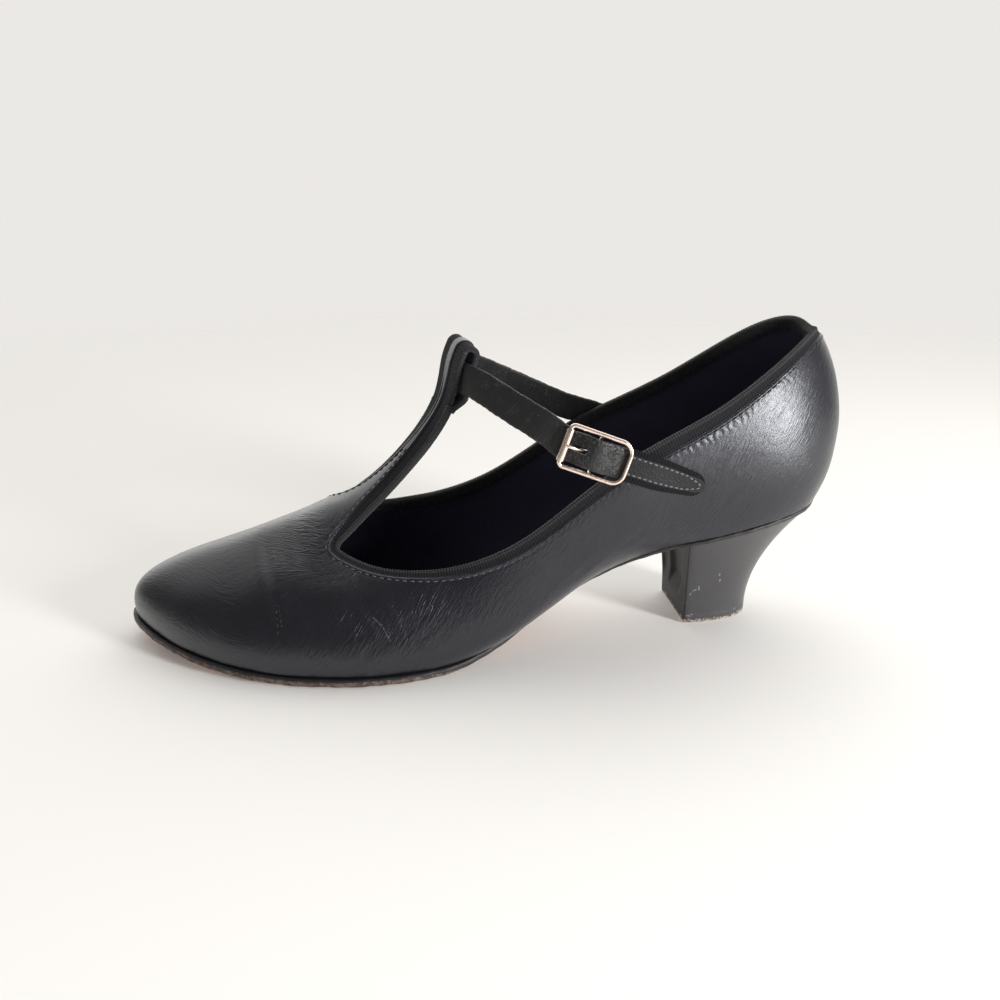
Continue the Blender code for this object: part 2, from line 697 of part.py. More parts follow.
def strap_route(buckle):
    """Middle line of the ankle strap and the way it faces: from its sewn end on the inner quarter, through
    the T-bar's loop, to its free end under the far bar of the buckle."""
    level = np.array(GAP + STRAP_THICK / 2)
    slope = math.tan(BUCKLE_SLOPE)
    points, normals = [], []
    for along in (STRAP_END_ALONG, 66.0, 75.0, 84.0, 93.0):
        height = STRAP_END_HEIGHT + (along - STRAP_END_ALONG) * slope * 0.92
        point, normal = quarter_frame(along, height, 1, level)
        points.append(point)
        normals.append(normal)
    seat = loop_seat()
    inner, outer = ([(np.array([-row[0], row[1], row[2]]), facing_from_angles(row[3], row[4])) for row in run]
                    for run in (STRAP_INNER_RUN, STRAP_OUTER_RUN))
    straight = (9.0, 6.0, 3.0, 0.0, -3.0, -6.0, -9.0)
    through = [(seat.middle + seat.across * shift, seat.face) for shift in straight]
    for point, normal in inner + through + outer:
        points.append(point)
        normals.append(normal)
    under = GAP + TAB_THICK + GAP + STRAP_THICK / 2 + 0.3
    over = BAR_LEVEL + BAR_RADIUS + GAP + TAB_THICK + GAP + STRAP_THICK / 2
    front = 1.6
    end = BUCKLE_LENGTH / 2 - 0.2
    for along, out in ((-10.0, front), (-6.8, front + 1.1), (-2.6, over - 0.5), (0.0, over), (2.6, over - 0.5),
                       (6.8, under + 0.7), (end, under)):
        points.append(buckle.point(along, 0.0, out))
        normals.append(buckle.out)
    return resample(np.array(points), np.array(normals), 64)


def facing_from_angles(turn, rise):
    turn, rise = math.radians(turn), math.radians(rise)
    return np.array([-math.cos(turn) * math.cos(rise), math.sin(turn) * math.cos(rise), math.sin(rise)])


def loop_seat():
    """Row of the T-bar at the strap's height, moved to the middle of the strap behind it."""
    full, row = tbar_curve()
    stops = np.linspace(full / 2, full, 200)
    nearest = min((row(stop) for stop in stops), key=lambda r: abs(r.middle[2] - LOOP_HEIGHT))
    return nearest._replace(middle=nearest.middle - nearest.face * (WALL + LOOP_GAP + STRAP_THICK / 2))


def resample(points, normals, count):
    """Smooth curve through the points with evenly spaced rows, and the facing carried along with it."""
    both = cubic_through(np.concatenate([points, normals], axis=1), closed=False)
    dense = both(np.linspace(0.0, len(points) - 1.0, 1200))
    reach = distance_along(dense[:, :3])
    even = np.linspace(0.0, reach[-1], count)
    rows = np.stack([np.interp(even, reach, dense[:, k]) for k in range(6)], -1)
    return rows[:, :3], unit(rows[:, 3:])


def rounded_end(distance, half, tip):
    """Half width of a strap near its end: a half round of the given tip length."""
    share = np.clip(distance / tip, 0.0, 1.0)
    return half * np.sqrt(np.clip(1.0 - (1.0 - share) ** 2, 0.06, 1.0))


def make_strap(buckle, leather):
    middle, normal = strap_route(buckle)
    reach = distance_along(middle)
    half = rounded_end(reach, STRAP_WIDTH / 2, STRAP_WIDTH / 2)
    strap = ribbon_sheet("ankle_strap", middle, normal, half, leather, STRAP_THICK)
    hole = box_cutter("strap_hole_cutter", (6.0, 2.2, 9.0), buckle, (-4.9, 0.0, 4.0))
    cut(strap, hole)
    return strap


def box_cutter(name, size, buckle, place):
    """Box laid out in the buckle's own directions, used only to cut."""
    bpy.ops.mesh.primitive_cube_add(size=1.0)
    cutter = bpy.context.object
    cutter.name = name
    cutter.data.transform(Matrix.Diagonal((*(side * MM for side in size), 1.0)))
    cutter.data.transform(Matrix.Translation(Vector(place) * MM))
    return keep_as_cutter(cutter, buckle)


def keep_as_cutter(cutter, buckle):
    for collection in list(cutter.users_collection):
        collection.objects.unlink(cutter)
    CUTTERS.objects.link(cutter)
    cutter.parent = ROOT
    cutter.matrix_local = buckle.matrix()
    cutter.hide_render = True
    cutter.display_type = "WIRE"
    return cutter


def cut(obj, cutter, operation="DIFFERENCE"):
    boolean = obj.modifiers.new(cutter.name, "BOOLEAN")
    boolean.operation = operation
    boolean.object = cutter
    boolean.solver = "EXACT"


def make_tab(buckle, leather):
    """Tab sewn to the outer quarter. Its end folds round the buckle's bar, with a slot for the prong."""
    level = np.array(GAP + TAB_THICK / 2)
    points, normals = [], []
    slope = math.tan(BUCKLE_SLOPE)
    for along in (STRAP_END_ALONG, 63.0, 69.0, 75.0, 81.0):
        height = BUCKLE_HEIGHT - (BUCKLE_ALONG - along) * slope * 0.94
        point, normal = quarter_frame(along, height, -1, level)
        points.append(point)
        normals.append(normal)
    fold = BAR_RADIUS + GAP + TAB_THICK / 2
    points.append(buckle.point(6.0, 0.0, level + 0.3))
    normals.append(buckle.out)
    for angle in np.radians(np.arange(-70.0, -331.0, -26.0)):
        spoke = (math.cos(angle), math.sin(angle))
        points.append(buckle.point(fold * spoke[0], 0.0, BAR_LEVEL + fold * spoke[1]))
        normals.append(-(buckle.along * spoke[0] + buckle.out * spoke[1]))
    middle, normal = resample(np.array(points), np.array(normals), 40)
    reach = distance_along(middle)
    taper = TAB_TIP_WIDTH + (TAB_WIDTH - TAB_TIP_WIDTH) * smooth_step(0.0, 18.0, reach)
    half = rounded_end(reach, 1.0, TAB_TIP_WIDTH / 2) * taper / 2
    half = half - (TAB_WIDTH / 2 - 4.4) * smooth_step(reach[-1] - 14.0, reach[-1] - 9.0, reach)
    tab = ribbon_sheet("buckle_tab", middle, normal, half, leather, TAB_THICK)
    slot = box_cutter("tab_slot_cutter", (5.2, 2.6, 6.0), buckle, (-0.2, 0.0, BAR_LEVEL))
    cut(tab, slot)
    return tab


def wire(name, points, radius, closed, sides=2):
    """Round wire along straight runs, as a mesh with its ends closed."""
    data = bpy.data.curves.new(name, "CURVE")
    data.dimensions = "3D"
    data.bevel_depth = radius * MM
    data.bevel_resolution = sides
    data.use_fill_caps = True
    spline = data.splines.new("POLY")
    spline.points.add(len(points) - 1)
    for knot, point in zip(spline.points, points):
        knot.co = (*(np.asarray(point) * MM), 1.0)
    spline.use_cyclic_u = closed
    source = bpy.data.objects.new(name, data)
    bpy.context.scene.collection.objects.link(source)
    bpy.context.view_layer.update()
    graph = bpy.context.evaluated_depsgraph_get()
    mesh = bpy.data.meshes.new_from_object(source.evaluated_get(graph))
    bpy.data.objects.remove(source)
    cage = bmesh.new()
    cage.from_mesh(mesh)
    bmesh.ops.remove_doubles(cage, verts=cage.verts, dist=1e-6)
    bmesh.ops.recalc_face_normals(cage, faces=cage.faces)
    cage.to_mesh(mesh)
    cage.free()
    mesh.name = name
    return bpy.data.objects.new(name, mesh)


def buckle_outline():
    """Middle line of the buckle's frame: tight corners at the strap's side, round ones at the tab's."""
    half_length = BUCKLE_LENGTH / 2 - BUCKLE_WIRE
    half_width = BUCKLE_WIDTH / 2 - BUCKLE_WIRE
    points = []
    for sign_along, sign_up, radius in ((1, 1, 3.6), (-1, 1, 1.2), (-1, -1, 1.2), (1, -1, 3.6)):
        start = math.atan2(sign_up, sign_along) - math.pi / 4
        for turn in np.linspace(0.0, math.pi / 2, 6):
            along = sign_along * (half_length - radius) + radius * math.cos(start + turn)
            upward = sign_up * (half_width - radius) + radius * math.sin(start + turn)
            points.append((along, upward, BUCKLE_LEVEL))
    return points


def make_buckle(buckle, metal):
    """Frame with its bent bar, the roller on its front bar, and the prong hooked round the bent bar."""
    frame = wire("buckle_frame", buckle_outline(), BUCKLE_WIRE, closed=True, sides=3)
    half = BUCKLE_WIDTH / 2 - BUCKLE_WIRE
    inner = half - 1.1
    bent = [(0.0, -half, BUCKLE_LEVEL), (0.0, -inner, BAR_LEVEL + 0.4), (0.0, -inner + 0.5, BAR_LEVEL),
            (0.0, inner - 0.5, BAR_LEVEL), (0.0, inner, BAR_LEVEL + 0.4), (0.0, half, BUCKLE_LEVEL)]
    bar = keep_as_cutter(wire("buckle_bar_cutter", bent, BAR_RADIUS, closed=False), buckle)
    finish_object(frame, metal)
    frame.matrix_local = buckle.matrix()
    cut(frame, bar, "UNION")
    roller = make_roller(buckle, metal)
    prong = make_prong(buckle, metal)
    return frame, roller, prong


def make_roller(buckle, metal):
    """Thin sleeve that turns on the buckle's front bar."""
    length = BUCKLE_WIDTH - 4 * BUCKLE_WIRE - 1.4
    bpy.ops.mesh.primitive_cylinder_add(
        vertices=16, radius=(ROLLER_RADIUS + BUCKLE_WIRE - 0.8) * MM, depth=length * MM, end_fill_type="NOTHING"
    )
    roller = bpy.context.object
    roller.name = "buckle_roller"
    for collection in list(roller.users_collection):
        collection.objects.unlink(roller)
    roller.data.transform(Matrix.Rotation(math.pi / 2, 4, "X"))
    place = Vector((-(BUCKLE_LENGTH / 2 - BUCKLE_WIRE), 0.0, BUCKLE_LEVEL)) * MM
    roller.data.transform(Matrix.Translation(place))
    finish_object(roller, metal)
    roller.matrix_local = buckle.matrix()
    return thicken(roller, ROLLER_WALL - 0.1, -1.0)


def make_prong(buckle, metal):
    """Prong: an eye hooked round the bent bar, up through the strap's hole, its tip on the roller."""
    eye = BAR_RADIUS + GAP + PRONG_RADIUS
    hook = [(eye * math.cos(a), 0.0, BAR_LEVEL + eye * math.sin(a)) for a in np.radians(np.arange(-10, -201, -19))]
    tip_level = BUCKLE_LEVEL + ROLLER_RADIUS + GAP + PRONG_RADIUS
    tip = -(BUCKLE_LENGTH / 2 - BUCKLE_WIRE) - 0.6
    shank = [(-3.2, 0.0, BAR_LEVEL + 1.1), (-6.6, 0.0, tip_level - 0.9), (tip + 1.8, 0.0, tip_level),
             (tip, 0.0, tip_level - 0.1)]
    prong = wire("buckle_prong", hook + shank, PRONG_RADIUS, closed=False)
    finish_object(prong, metal)
    prong.matrix_local = buckle.matrix()
    return prong


def centre_over_origin():
    """Moves the whole shoe so that its box stands centred on the floor."""
    bpy.context.view_layer.update()
    graph = bpy.context.evaluated_depsgraph_get()
    corners = []
    for obj in SHOE.objects:
        if obj.type == "MESH":
            shape = obj.evaluated_get(graph)
            corners += [shape.matrix_world @ Vector(corner) for corner in shape.bound_box]
    low = np.min(corners, axis=0)
    high = np.max(corners, axis=0)
    ROOT.location = (-(low[0] + high[0]) / 2, -(low[1] + high[1]) / 2, 0.0)
    bpy.context.view_layer.update()


def main():
    black_leather = material("black_leather", (0.018, 0.018, 0.022), 0.42)
    strap_leather = material("strap_leather", (0.012, 0.012, 0.013), 0.55)
    ribbon = material("black_ribbon", (0.010, 0.010, 0.012), 0.8)
    lining = material("navy_lining", (0.012, 0.013, 0.022), 0.7)
    sole_leather = material("sole_leather", (0.16, 0.085, 0.06), 0.8)
    heel_plastic = material("black_heel", (0.028, 0.028, 0.031), 0.4)
    worn_lift = material("worn_top_piece", (0.05, 0.035, 0.03), 0.85)
    buckle_metal = material("buckle_metal", (0.83, 0.66, 0.55), 0.22, 1.0)
    wall_points, wall_faces, edge, outward = make_upper(black_leather)
    make_ribbon(wall_points, wall_faces, edge, outward, ribbon)
    make_sole(sole_leather)
    make_insole(lining)
    make_heel(heel_plastic, worn_lift)
    buckle = BuckleFrame()
    make_strap(buckle, strap_leather)
    make_tab(buckle, strap_leather)
    make_buckle(buckle, buckle_metal)
    centre_over_origin()


def clear_scene():
    for obj in list(bpy.data.objects):
        bpy.data.objects.remove(obj)


def new_collection(name):
    collection = bpy.data.collections.new(name)
    bpy.context.scene.collection.children.link(collection)
    return collection


clear_scene()
SHOE = new_collection("t_strap_dance_shoe")
CUTTERS = new_collection("cutters")
CUTTERS.hide_render = True
ROOT = bpy.data.objects.new("shoe_origin", None)
SHOE.objects.link(ROOT)
main()
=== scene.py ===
"""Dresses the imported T-strap dance shoe: creased skin, ribbon, stitches, strap, sole, heel and buckle.

Shapes are worked out in millimetres in the last's own directions: the toe points to -X, the outer side
with the buckle faces -Y and +Z is up. "along" is a distance forward of the back of the heel, so
X = -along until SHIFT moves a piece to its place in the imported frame.
"""

import collections
import functools
import math

import bmesh
import bpy
import numpy as np
from mathutils import Matrix, Vector


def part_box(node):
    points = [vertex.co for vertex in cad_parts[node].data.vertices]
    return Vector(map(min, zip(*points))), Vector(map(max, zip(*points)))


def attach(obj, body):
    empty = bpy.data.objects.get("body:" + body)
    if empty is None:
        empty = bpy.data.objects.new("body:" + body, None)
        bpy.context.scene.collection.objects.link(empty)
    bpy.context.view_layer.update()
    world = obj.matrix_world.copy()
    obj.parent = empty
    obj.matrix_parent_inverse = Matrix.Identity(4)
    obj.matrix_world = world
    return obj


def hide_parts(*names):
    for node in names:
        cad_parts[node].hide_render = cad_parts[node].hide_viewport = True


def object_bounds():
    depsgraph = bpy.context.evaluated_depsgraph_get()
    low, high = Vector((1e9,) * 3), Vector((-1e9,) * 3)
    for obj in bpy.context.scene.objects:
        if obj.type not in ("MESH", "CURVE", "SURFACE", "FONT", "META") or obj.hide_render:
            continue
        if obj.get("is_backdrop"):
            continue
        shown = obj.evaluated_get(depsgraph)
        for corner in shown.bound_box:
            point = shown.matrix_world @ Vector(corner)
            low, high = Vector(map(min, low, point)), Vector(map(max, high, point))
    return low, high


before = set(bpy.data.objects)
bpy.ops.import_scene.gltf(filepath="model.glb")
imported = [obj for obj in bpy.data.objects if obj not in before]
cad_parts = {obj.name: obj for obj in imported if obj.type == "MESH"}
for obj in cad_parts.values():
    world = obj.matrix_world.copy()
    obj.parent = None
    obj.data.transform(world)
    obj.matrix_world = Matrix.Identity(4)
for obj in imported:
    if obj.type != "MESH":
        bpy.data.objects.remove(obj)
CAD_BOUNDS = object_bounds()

bl_info = {
    "name": "T-strap dance shoe",
    "version": (1, 0, 0),
    "blender": (4, 5, 0),
    "location": "3D View > Sidebar > Shoe",
    "description": "Makes the leather, ribbon, stitches, sole, heel and buckle of a T-strap dance shoe",
    "category": "Add Mesh",
}

MM = 0.001
UP = np.array([0.0, 0.0, 1.0])
INWARD_SIDE = np.array([0.0, 1.0, 0.0])

# Driving sizes of the last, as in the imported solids
SHOE_LENGTH = 250.0
BALL_WIDTH = 80.0
BACK_HEIGHT = 58.0
SEAT_FRONT_LIFT = 33.4
SEAT_SLOPE = 0.22
TOE_SPRING = 6.5
BREAST_ALONG = 57.0
FLAT_REAR_ALONG = 146.0
FLAT_FRONT_ALONG = 187.0
THIN_SOLE_ALONG = 104.0
WALL = 1.8
GAP = 0.3
LOWER_GAP = 0.4
SOLE_FRONT = 2.7
SOLE_REAR = 1.6
INSOLE = 1.6
OVERHANG_TOE = 1.3
OVERHANG_WAIST = -1.0
OVERHANG_SEAT = -0.3
HEEL_INSET = 1.4

# The T-bar and the loop at its top
TBAR_FILLET = 8.0
TBAR_CORNER = 1.8
TBAR_FLARE = 7.2
TBAR_FLARE_LENGTH = 36.0
TBAR_FLARE_POWER = 2.2
TBAR_BASE_TILT = math.radians(8.0)
TBAR_TILT = math.radians(15.0)
TBAR_TWIST_LENGTH = 40.0
TBAR_CURVATURE = 0.02
TBAR_BLEND = 14.0
LOOP_TAIL = 20.0
LOOP_GAP = 1.1
LOOP_HEIGHT = 91.6
RIBBON_TOP = 82.0
RIBBON_DEPTH = 4.2

# The ankle strap, its tab and its buckle
STRAP_WIDTH = 10.0
STRAP_THICK = 1.4
TAB_WIDTH = 10.4
TAB_TIP_WIDTH = 7.6
TAB_THICK = 0.9
BUCKLE_LENGTH = 22.0
BUCKLE_WIDTH = 14.8
BUCKLE_WIRE = 0.8
BUCKLE_ROUND = 0.7
BUCKLE_LEVEL = 4.4
BUCKLE_SLOPE = math.radians(21.0)
BUCKLE_ALONG = 93.0
BUCKLE_HEIGHT = 70.5
BAR_LEVEL = 2.6
BAR_RADIUS = 0.6
ROLLER_RADIUS = 1.25
PRONG_RADIUS = 0.5
STRAP_END_ALONG = 57.0
STRAP_END_HEIGHT = 59.0
# Two corners of the hole for the prong, in the buckle's own directions
PRONG_HOLE = ((-7.4, -1.0, -0.5), (-3.3, 1.0, 8.5))
TAB_STITCH_PITCH = 1.9
TAB_STITCH_LENGTH = 1.45
TAB_THREAD_RADIUS = 0.24
# How much lighter the topline's thread is made at the throat, a painted highlight for the glints on its
# stitches there
THROAT_PAINTED_GLINT = 3.6

# The heel
HEEL_BASE_BACK = 28.0
HEEL_BASE_FRONT = 54.5
HEEL_BASE_HALF = 14.2
HEEL_CURVE = 1.9
HEEL_SQUARENESS = 2.6
TOP_PIECE = 3.0
LIP_WIDTH = 1.6
LIP_DEPTH = 1.0
RECESS_DEPTH = 1.6
RECESS_SHARE = 0.42
TORN_HEIGHT = 1.9
HEEL_TURN_POINTS = 121

# Pale tones of worn leather, worn strap leather and scuffs on the heel
WORN_LEATHER = (0.16, 0.155, 0.15, 1.0)
WORN_STRAP = (0.17, 0.165, 0.16, 1.0)
HEEL_WHITE = (0.5, 0.48, 0.46, 1.0)

# The camera's place in the last's own directions, and its yaw, pitch and roll in degrees
CAMERA_PLACE = np.array([-149.83, -279.14, 145.92])
CAMERA_ANGLES = (6.27, 19.67, -0.62)

# How finely the skin is cut, and the depth of its finely cut zone below the open edge
COLUMNS_PER_SECTION = 15
BODY_ROWS = 64
EDGE_ROWS = 16
EDGE_ZONE = 8.0

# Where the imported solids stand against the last's own directions
BASE_LOW, BASE_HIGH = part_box("heel_top_piece")
SHIFT = np.array([BASE_HIGH.x / MM + HEEL_BASE_BACK, (BASE_LOW.y + BASE_HIGH.y) / 2 / MM, 0.0])

# Sections from the heel's back round the outer side to the toe, and the same for the inner side.
# Columns: lower edge along and across, top edge along, across and rise above the sole.
# Along is in percent of SHOE_LENGTH, across in percent of BALL_WIDTH and rise in percent of BACK_HEIGHT.
OUTER_SECTIONS = (
    (2.8, 0.0, 4.3, 0.6, 100.0),  # heel back
    (4.7, -19.2, 6.0, -12.6, 101.2),  # heel corner
    (11.6, -29.4, 13.0, -27.0, 90.6),  # heel side
    (22.0, -29.4, 22.8, -35.4, 75.8),  # heel breast
    (32.0, -23.0, 31.2, -39.4, 71.6),  # rear of the waist
    (40.8, -25.0, 39.2, -40.6, 65.0),  # waist
    (48.8, -39.0, 47.2, -41.3, 56.7),  # front of the arch
    (56.8, -47.8, 55.6, -38.8, 53.4),  # rear of the ball
    (66.0, -51.9, 63.2, -33.1, 52.2),  # ball
    (76.0, -47.5, 68.2, -25.6, 56.4),  # front of the ball
    (84.8, -37.5, 70.6, -19.4, 62.2),  # side of the vamp
    (92.4, -21.9, 71.2, -11.3, 70.0),  # front of the vamp
    (97.6, -5.0, 71.4, -4.4, 74.7),  # corner of the toe
    (99.4, 7.5, 71.4, 1.9, 76.7),  # toe
)
INNER_SECTIONS = (
    (2.8, 0.0, 4.3, 0.6, 100.0),  # heel back
    (4.7, 19.2, 5.2, 13.1, 104.3),  # heel corner
    (11.6, 29.4, 11.2, 25.6, 99.5),  # heel side
    (22.0, 28.1, 22.4, 35.0, 79.0),  # heel breast
    (32.0, 18.8, 31.2, 39.4, 73.1),  # rear of the waist
    (41.6, 17.5, 39.6, 41.3, 70.3),  # waist
    (50.4, 27.5, 48.0, 41.3, 65.0),  # front of the arch
    (59.2, 39.4, 56.0, 39.4, 62.6),  # rear of the ball
    (68.8, 46.3, 63.2, 36.3, 60.9),  # ball
    (77.6, 46.9, 68.2, 30.0, 64.3),  # front of the ball
    (85.6, 41.9, 70.6, 23.1, 70.3),  # side of the vamp
    (92.8, 33.1, 71.3, 15.6, 74.7),  # front of the vamp
    (97.6, 21.3, 71.4, 8.8, 76.4),  # corner of the toe
    (99.4, 7.5, 71.4, 1.9, 76.7),  # toe
)
# Fullness of the wall at each of those sections, in millimetres but for the reach.
# Columns: lean and rise of the lower handle, reach of the upper handle as a share of the way to the lower
# edge, and the lean and drop of the upper handle.
WALL_FULLNESS = (
    (7.6, 14.0, 0.0, 14.5, 20.0),  # heel back
    (6.5, 14.0, 0.0, 11.0, 20.0),  # heel corner
    (5.5, 14.0, 0.0, 5.0, 18.0),  # heel side
    (7.0, 10.0, 0.0, 3.0, 15.0),  # heel breast
    (15.0, 6.0, 0.0, 2.2, 14.0),  # rear of the waist
    (14.5, 4.5, 0.0, 1.8, 13.0),  # waist
    (9.0, 5.5, 0.0, 1.8, 11.0),  # front of the arch
    (4.5, 8.0, 0.3, 2.0, 7.5),  # rear of the ball
    (2.8, 10.5, 0.45, 1.5, 6.5),  # ball
    (2.8, 12.0, 0.5, 1.0, 8.0),  # front of the ball
    (3.2, 13.5, 0.56, 1.0, 11.0),  # side of the vamp
    (3.4, 17.5, 0.62, 0.5, 17.7),  # front of the vamp
    (3.4, 19.5, 0.67, 0.0, 20.3),  # corner of the toe
    (3.4, 20.0, 0.68, 0.0, 20.8),  # toe
)
# Sections between which the T-bar grows out of the vamp
TBAR_SECTIONS = (9.667, 16.0)
# The T-bar's middle line above the throat: along, height and half width
TBAR_PATH = (
    (178.5, 47.4, 8.8),
    (169.5, 51.0, 8.4),
    (161.5, 56.3, 7.9),
    (153.3, 63.8, 7.4),
    (145.2, 73.2, 7.2),
    (139.6, 81.8, 7.4),
    (137.2, 89.5, 7.9),
    (135.8, 95.5, 8.2),
    (134.0, 100.0, 8.2),
)
# Free run of the strap between the loop and the quarter, on the inner side and on the outer side.
# Columns: along, across, height, and the way it faces: degrees round from the toe and degrees upward.
STRAP_INNER_RUN = (
    (108.5, 30.6, 79.4, 75.0, 16.0),
    (119.5, 25.0, 85.2, 62.0, 20.0),
    (129.5, 16.0, 90.4, 48.0, 18.0),
)
STRAP_OUTER_RUN = (
    (126.6, -13.4, 89.0, -46.0, 18.0),
    (117.4, -22.4, 84.0, -60.0, 20.0),
    (108.0, -29.4, 78.7, -72.0, 16.0),
)

SKIN = collections.namedtuple(
    "SKIN", "points normals faces edge_uv wrinkle_uv line line_normals line_beyond line_reach line_width")
BAR_ROWS = collections.namedtuple("BAR_ROWS", "middle way face across outer inner curvature stop")


def cubic_through(values, closed):
    """Smooth cubic curve through the rows of values, one row at each whole number of its parameter."""
    values = np.asarray(values, float)
    count = len(values)
    rows = np.arange(count)
    matrix = np.zeros((count, count))
    matrix[rows, rows] = 4.0
    matrix[rows, (rows + 1) % count] = 1.0
    matrix[rows, (rows - 1) % count] = 1.0
    turn = 6.0 * (np.roll(values, -1, 0) - 2.0 * values + np.roll(values, 1, 0))
    if not closed:
        for end in (0, count - 1):
            matrix[end] = 0.0
            matrix[end, end] = 1.0
            turn[end] = 0.0
    second = np.linalg.solve(matrix, turn)

    def curve(parameter):
        parameter = np.asarray(parameter, float)
        if closed:
            parameter = parameter % count
        index = np.floor(parameter).astype(int)
        index = np.clip(index, 0, count - 1 if closed else count - 2)
        after = (index + 1) % count
        share = (parameter - index)[..., None]
        rest = 1.0 - share
        straight = rest * values[index] + share * values[after]
        return straight + ((rest**3 - rest) * second[index] + (share**3 - share) * second[after]) / 6.0

    return curve


def distance_along(points):
    """Distance of each point from the first, along the line through them."""
    steps = np.linalg.norm(np.diff(points, axis=0), axis=1)
    return np.concatenate([[0.0], np.cumsum(steps)])


def rows_at(places, reach, rows):
    """Rows of values read off at places between the reaches at which they are known."""
    return np.stack([np.interp(places, reach, column) for column in np.asarray(rows).T], -1)


def last_points(rows):
    """Points of the last from rows of along, across and height."""
    return np.asarray(rows, float)[..., :3] * np.array([-1.0, 1.0, 1.0])


def smooth_step(low, high, value):
    """Rises from 0 at low to 1 at high as three times the share squared less twice the share cubed."""
    share = np.clip((np.asarray(value, float) - low) / (high - low), 0.0, 1.0)
    return share * share * (3.0 - 2.0 * share)


def swell(value, middle, width):
    """Bell curve of height 1 round a middle value."""
    return np.exp(-(((value - middle) / width) ** 2))


def unit(vectors):
    vectors = np.asarray(vectors, float)
    return vectors / np.linalg.norm(vectors, axis=-1, keepdims=True)


def across_normals(vectors, normals):
    """Unit directions of the vectors' parts at right angles to the normals."""
    return unit(vectors - normals * np.sum(vectors * normals, axis=-1, keepdims=True))


def sole_bottom(along):
    """Height of the sole's lower face: toe spring, flat tread, shank curve and straight heel seat."""
    along = np.asarray(along, float)
    shank = FLAT_REAR_ALONG - BREAST_ALONG
    share = np.clip((FLAT_REAR_ALONG - along) / shank, 0.0, 1.0)
    rise = share**2 * (3.0 - 2.0 * share) * SEAT_FRONT_LIFT
    rise += (share**3 - share**2) * shank * SEAT_SLOPE
    seat = np.clip(BREAST_ALONG - along, 0.0, None) * SEAT_SLOPE
    toe = np.clip((along - FLAT_FRONT_ALONG) / (SHOE_LENGTH - FLAT_FRONT_ALONG), 0.0, None)
    return rise + seat + TOE_SPRING * toe**1.8


def sole_top(along):
    """Height of the sole's upper face."""
    thickness = SOLE_REAR + (SOLE_FRONT - SOLE_REAR) * smooth_step(THIN_SOLE_ALONG, FLAT_REAR_ALONG, along)
    return sole_bottom(along) + thickness


def section_table():
    """All sections once round the shoe: outer side from heel to toe, then inner side back to the heel."""
    outer = np.array(OUTER_SECTIONS)
    inner = np.array(INNER_SECTIONS)
    fullness = np.array(WALL_FULLNESS)
    edges = np.concatenate([outer, inner[-2:0:-1]])
    wall = np.concatenate([fullness, fullness[-2:0:-1]])
    edges = edges * np.array([SHOE_LENGTH, BALL_WIDTH, SHOE_LENGTH, BALL_WIDTH, BACK_HEIGHT]) / 100.0
    return np.concatenate([edges, wall], axis=1)


SECTION_COUNT = len(OUTER_SECTIONS) + len(INNER_SECTIONS) - 2
SECTION_CURVE = cubic_through(section_table(), closed=True)
PLAN_STEP = 1e-3


def lower_edge(u):
    """Lower edge of the upper in plan, and its outward direction."""
    row = SECTION_CURVE(u)
    ahead = SECTION_CURVE(u + PLAN_STEP)[..., :2]
    behind = SECTION_CURVE(u - PLAN_STEP)[..., :2]
    tangent = (ahead - behind) * np.array([-1.0, 1.0])
    plan = np.stack([-row[..., 0], row[..., 1]], -1)
    outward = unit(np.stack([tangent[..., 1], -tangent[..., 0]], -1)) * -1.0
    return plan, outward


def wall_handles(u):
    """The four points of each wall section, from its lower edge to its top edge."""
    row = SECTION_CURVE(u)
    plan, outward = lower_edge(u)
    low = np.concatenate([plan, (sole_top(row[..., 0]) + LOWER_GAP)[..., None]], -1)
    top_plan = np.stack([-row[..., 2], row[..., 3]], -1)
    top = np.concatenate([top_plan, (sole_top(row[..., 2]) + row[..., 4])[..., None]], -1)
    out = np.concatenate([outward, np.zeros(outward.shape[:-1] + (1,))], -1)
    lean_low, rise_low, reach, lean_top, drop = (row[..., k, None] for k in range(5, 10))
    towards_low = (low - top) * np.array([1.0, 1.0, 0.0])
    first = low + out * lean_low + UP * rise_low
    second = top + towards_low * reach + out * lean_top - UP * drop
    return low, first, second, top


def wall_point(u, v):
    """Point of the upper's outer face, a cubic Bezier in v from 0 at the lower edge to 1 at the top edge,
    which goes on past the top edge in a straight line."""
    u, v = np.broadcast_arrays(np.asarray(u, float), np.asarray(v, float))
    low, first, second, top = wall_handles(u)
    inside = np.minimum(v, 1.0)[..., None]
    rest = 1.0 - inside
    point = rest**3 * low + 3 * rest**2 * inside * first + 3 * rest * inside**2 * second + inside**3 * top
    return point + 3.0 * (top - second) * np.clip(v - 1.0, 0.0, None)[..., None]


def wall_normal(u, v):
    """Outward direction of the upper's outer face: cross product of its slopes up the wall and round the
    shoe."""
    step = 1e-3
    round_shoe = wall_point(u + step, v) - wall_point(u - step, v)
    upward = wall_point(u, v + step) - wall_point(u, v - step)
    return unit(np.cross(upward, round_shoe))


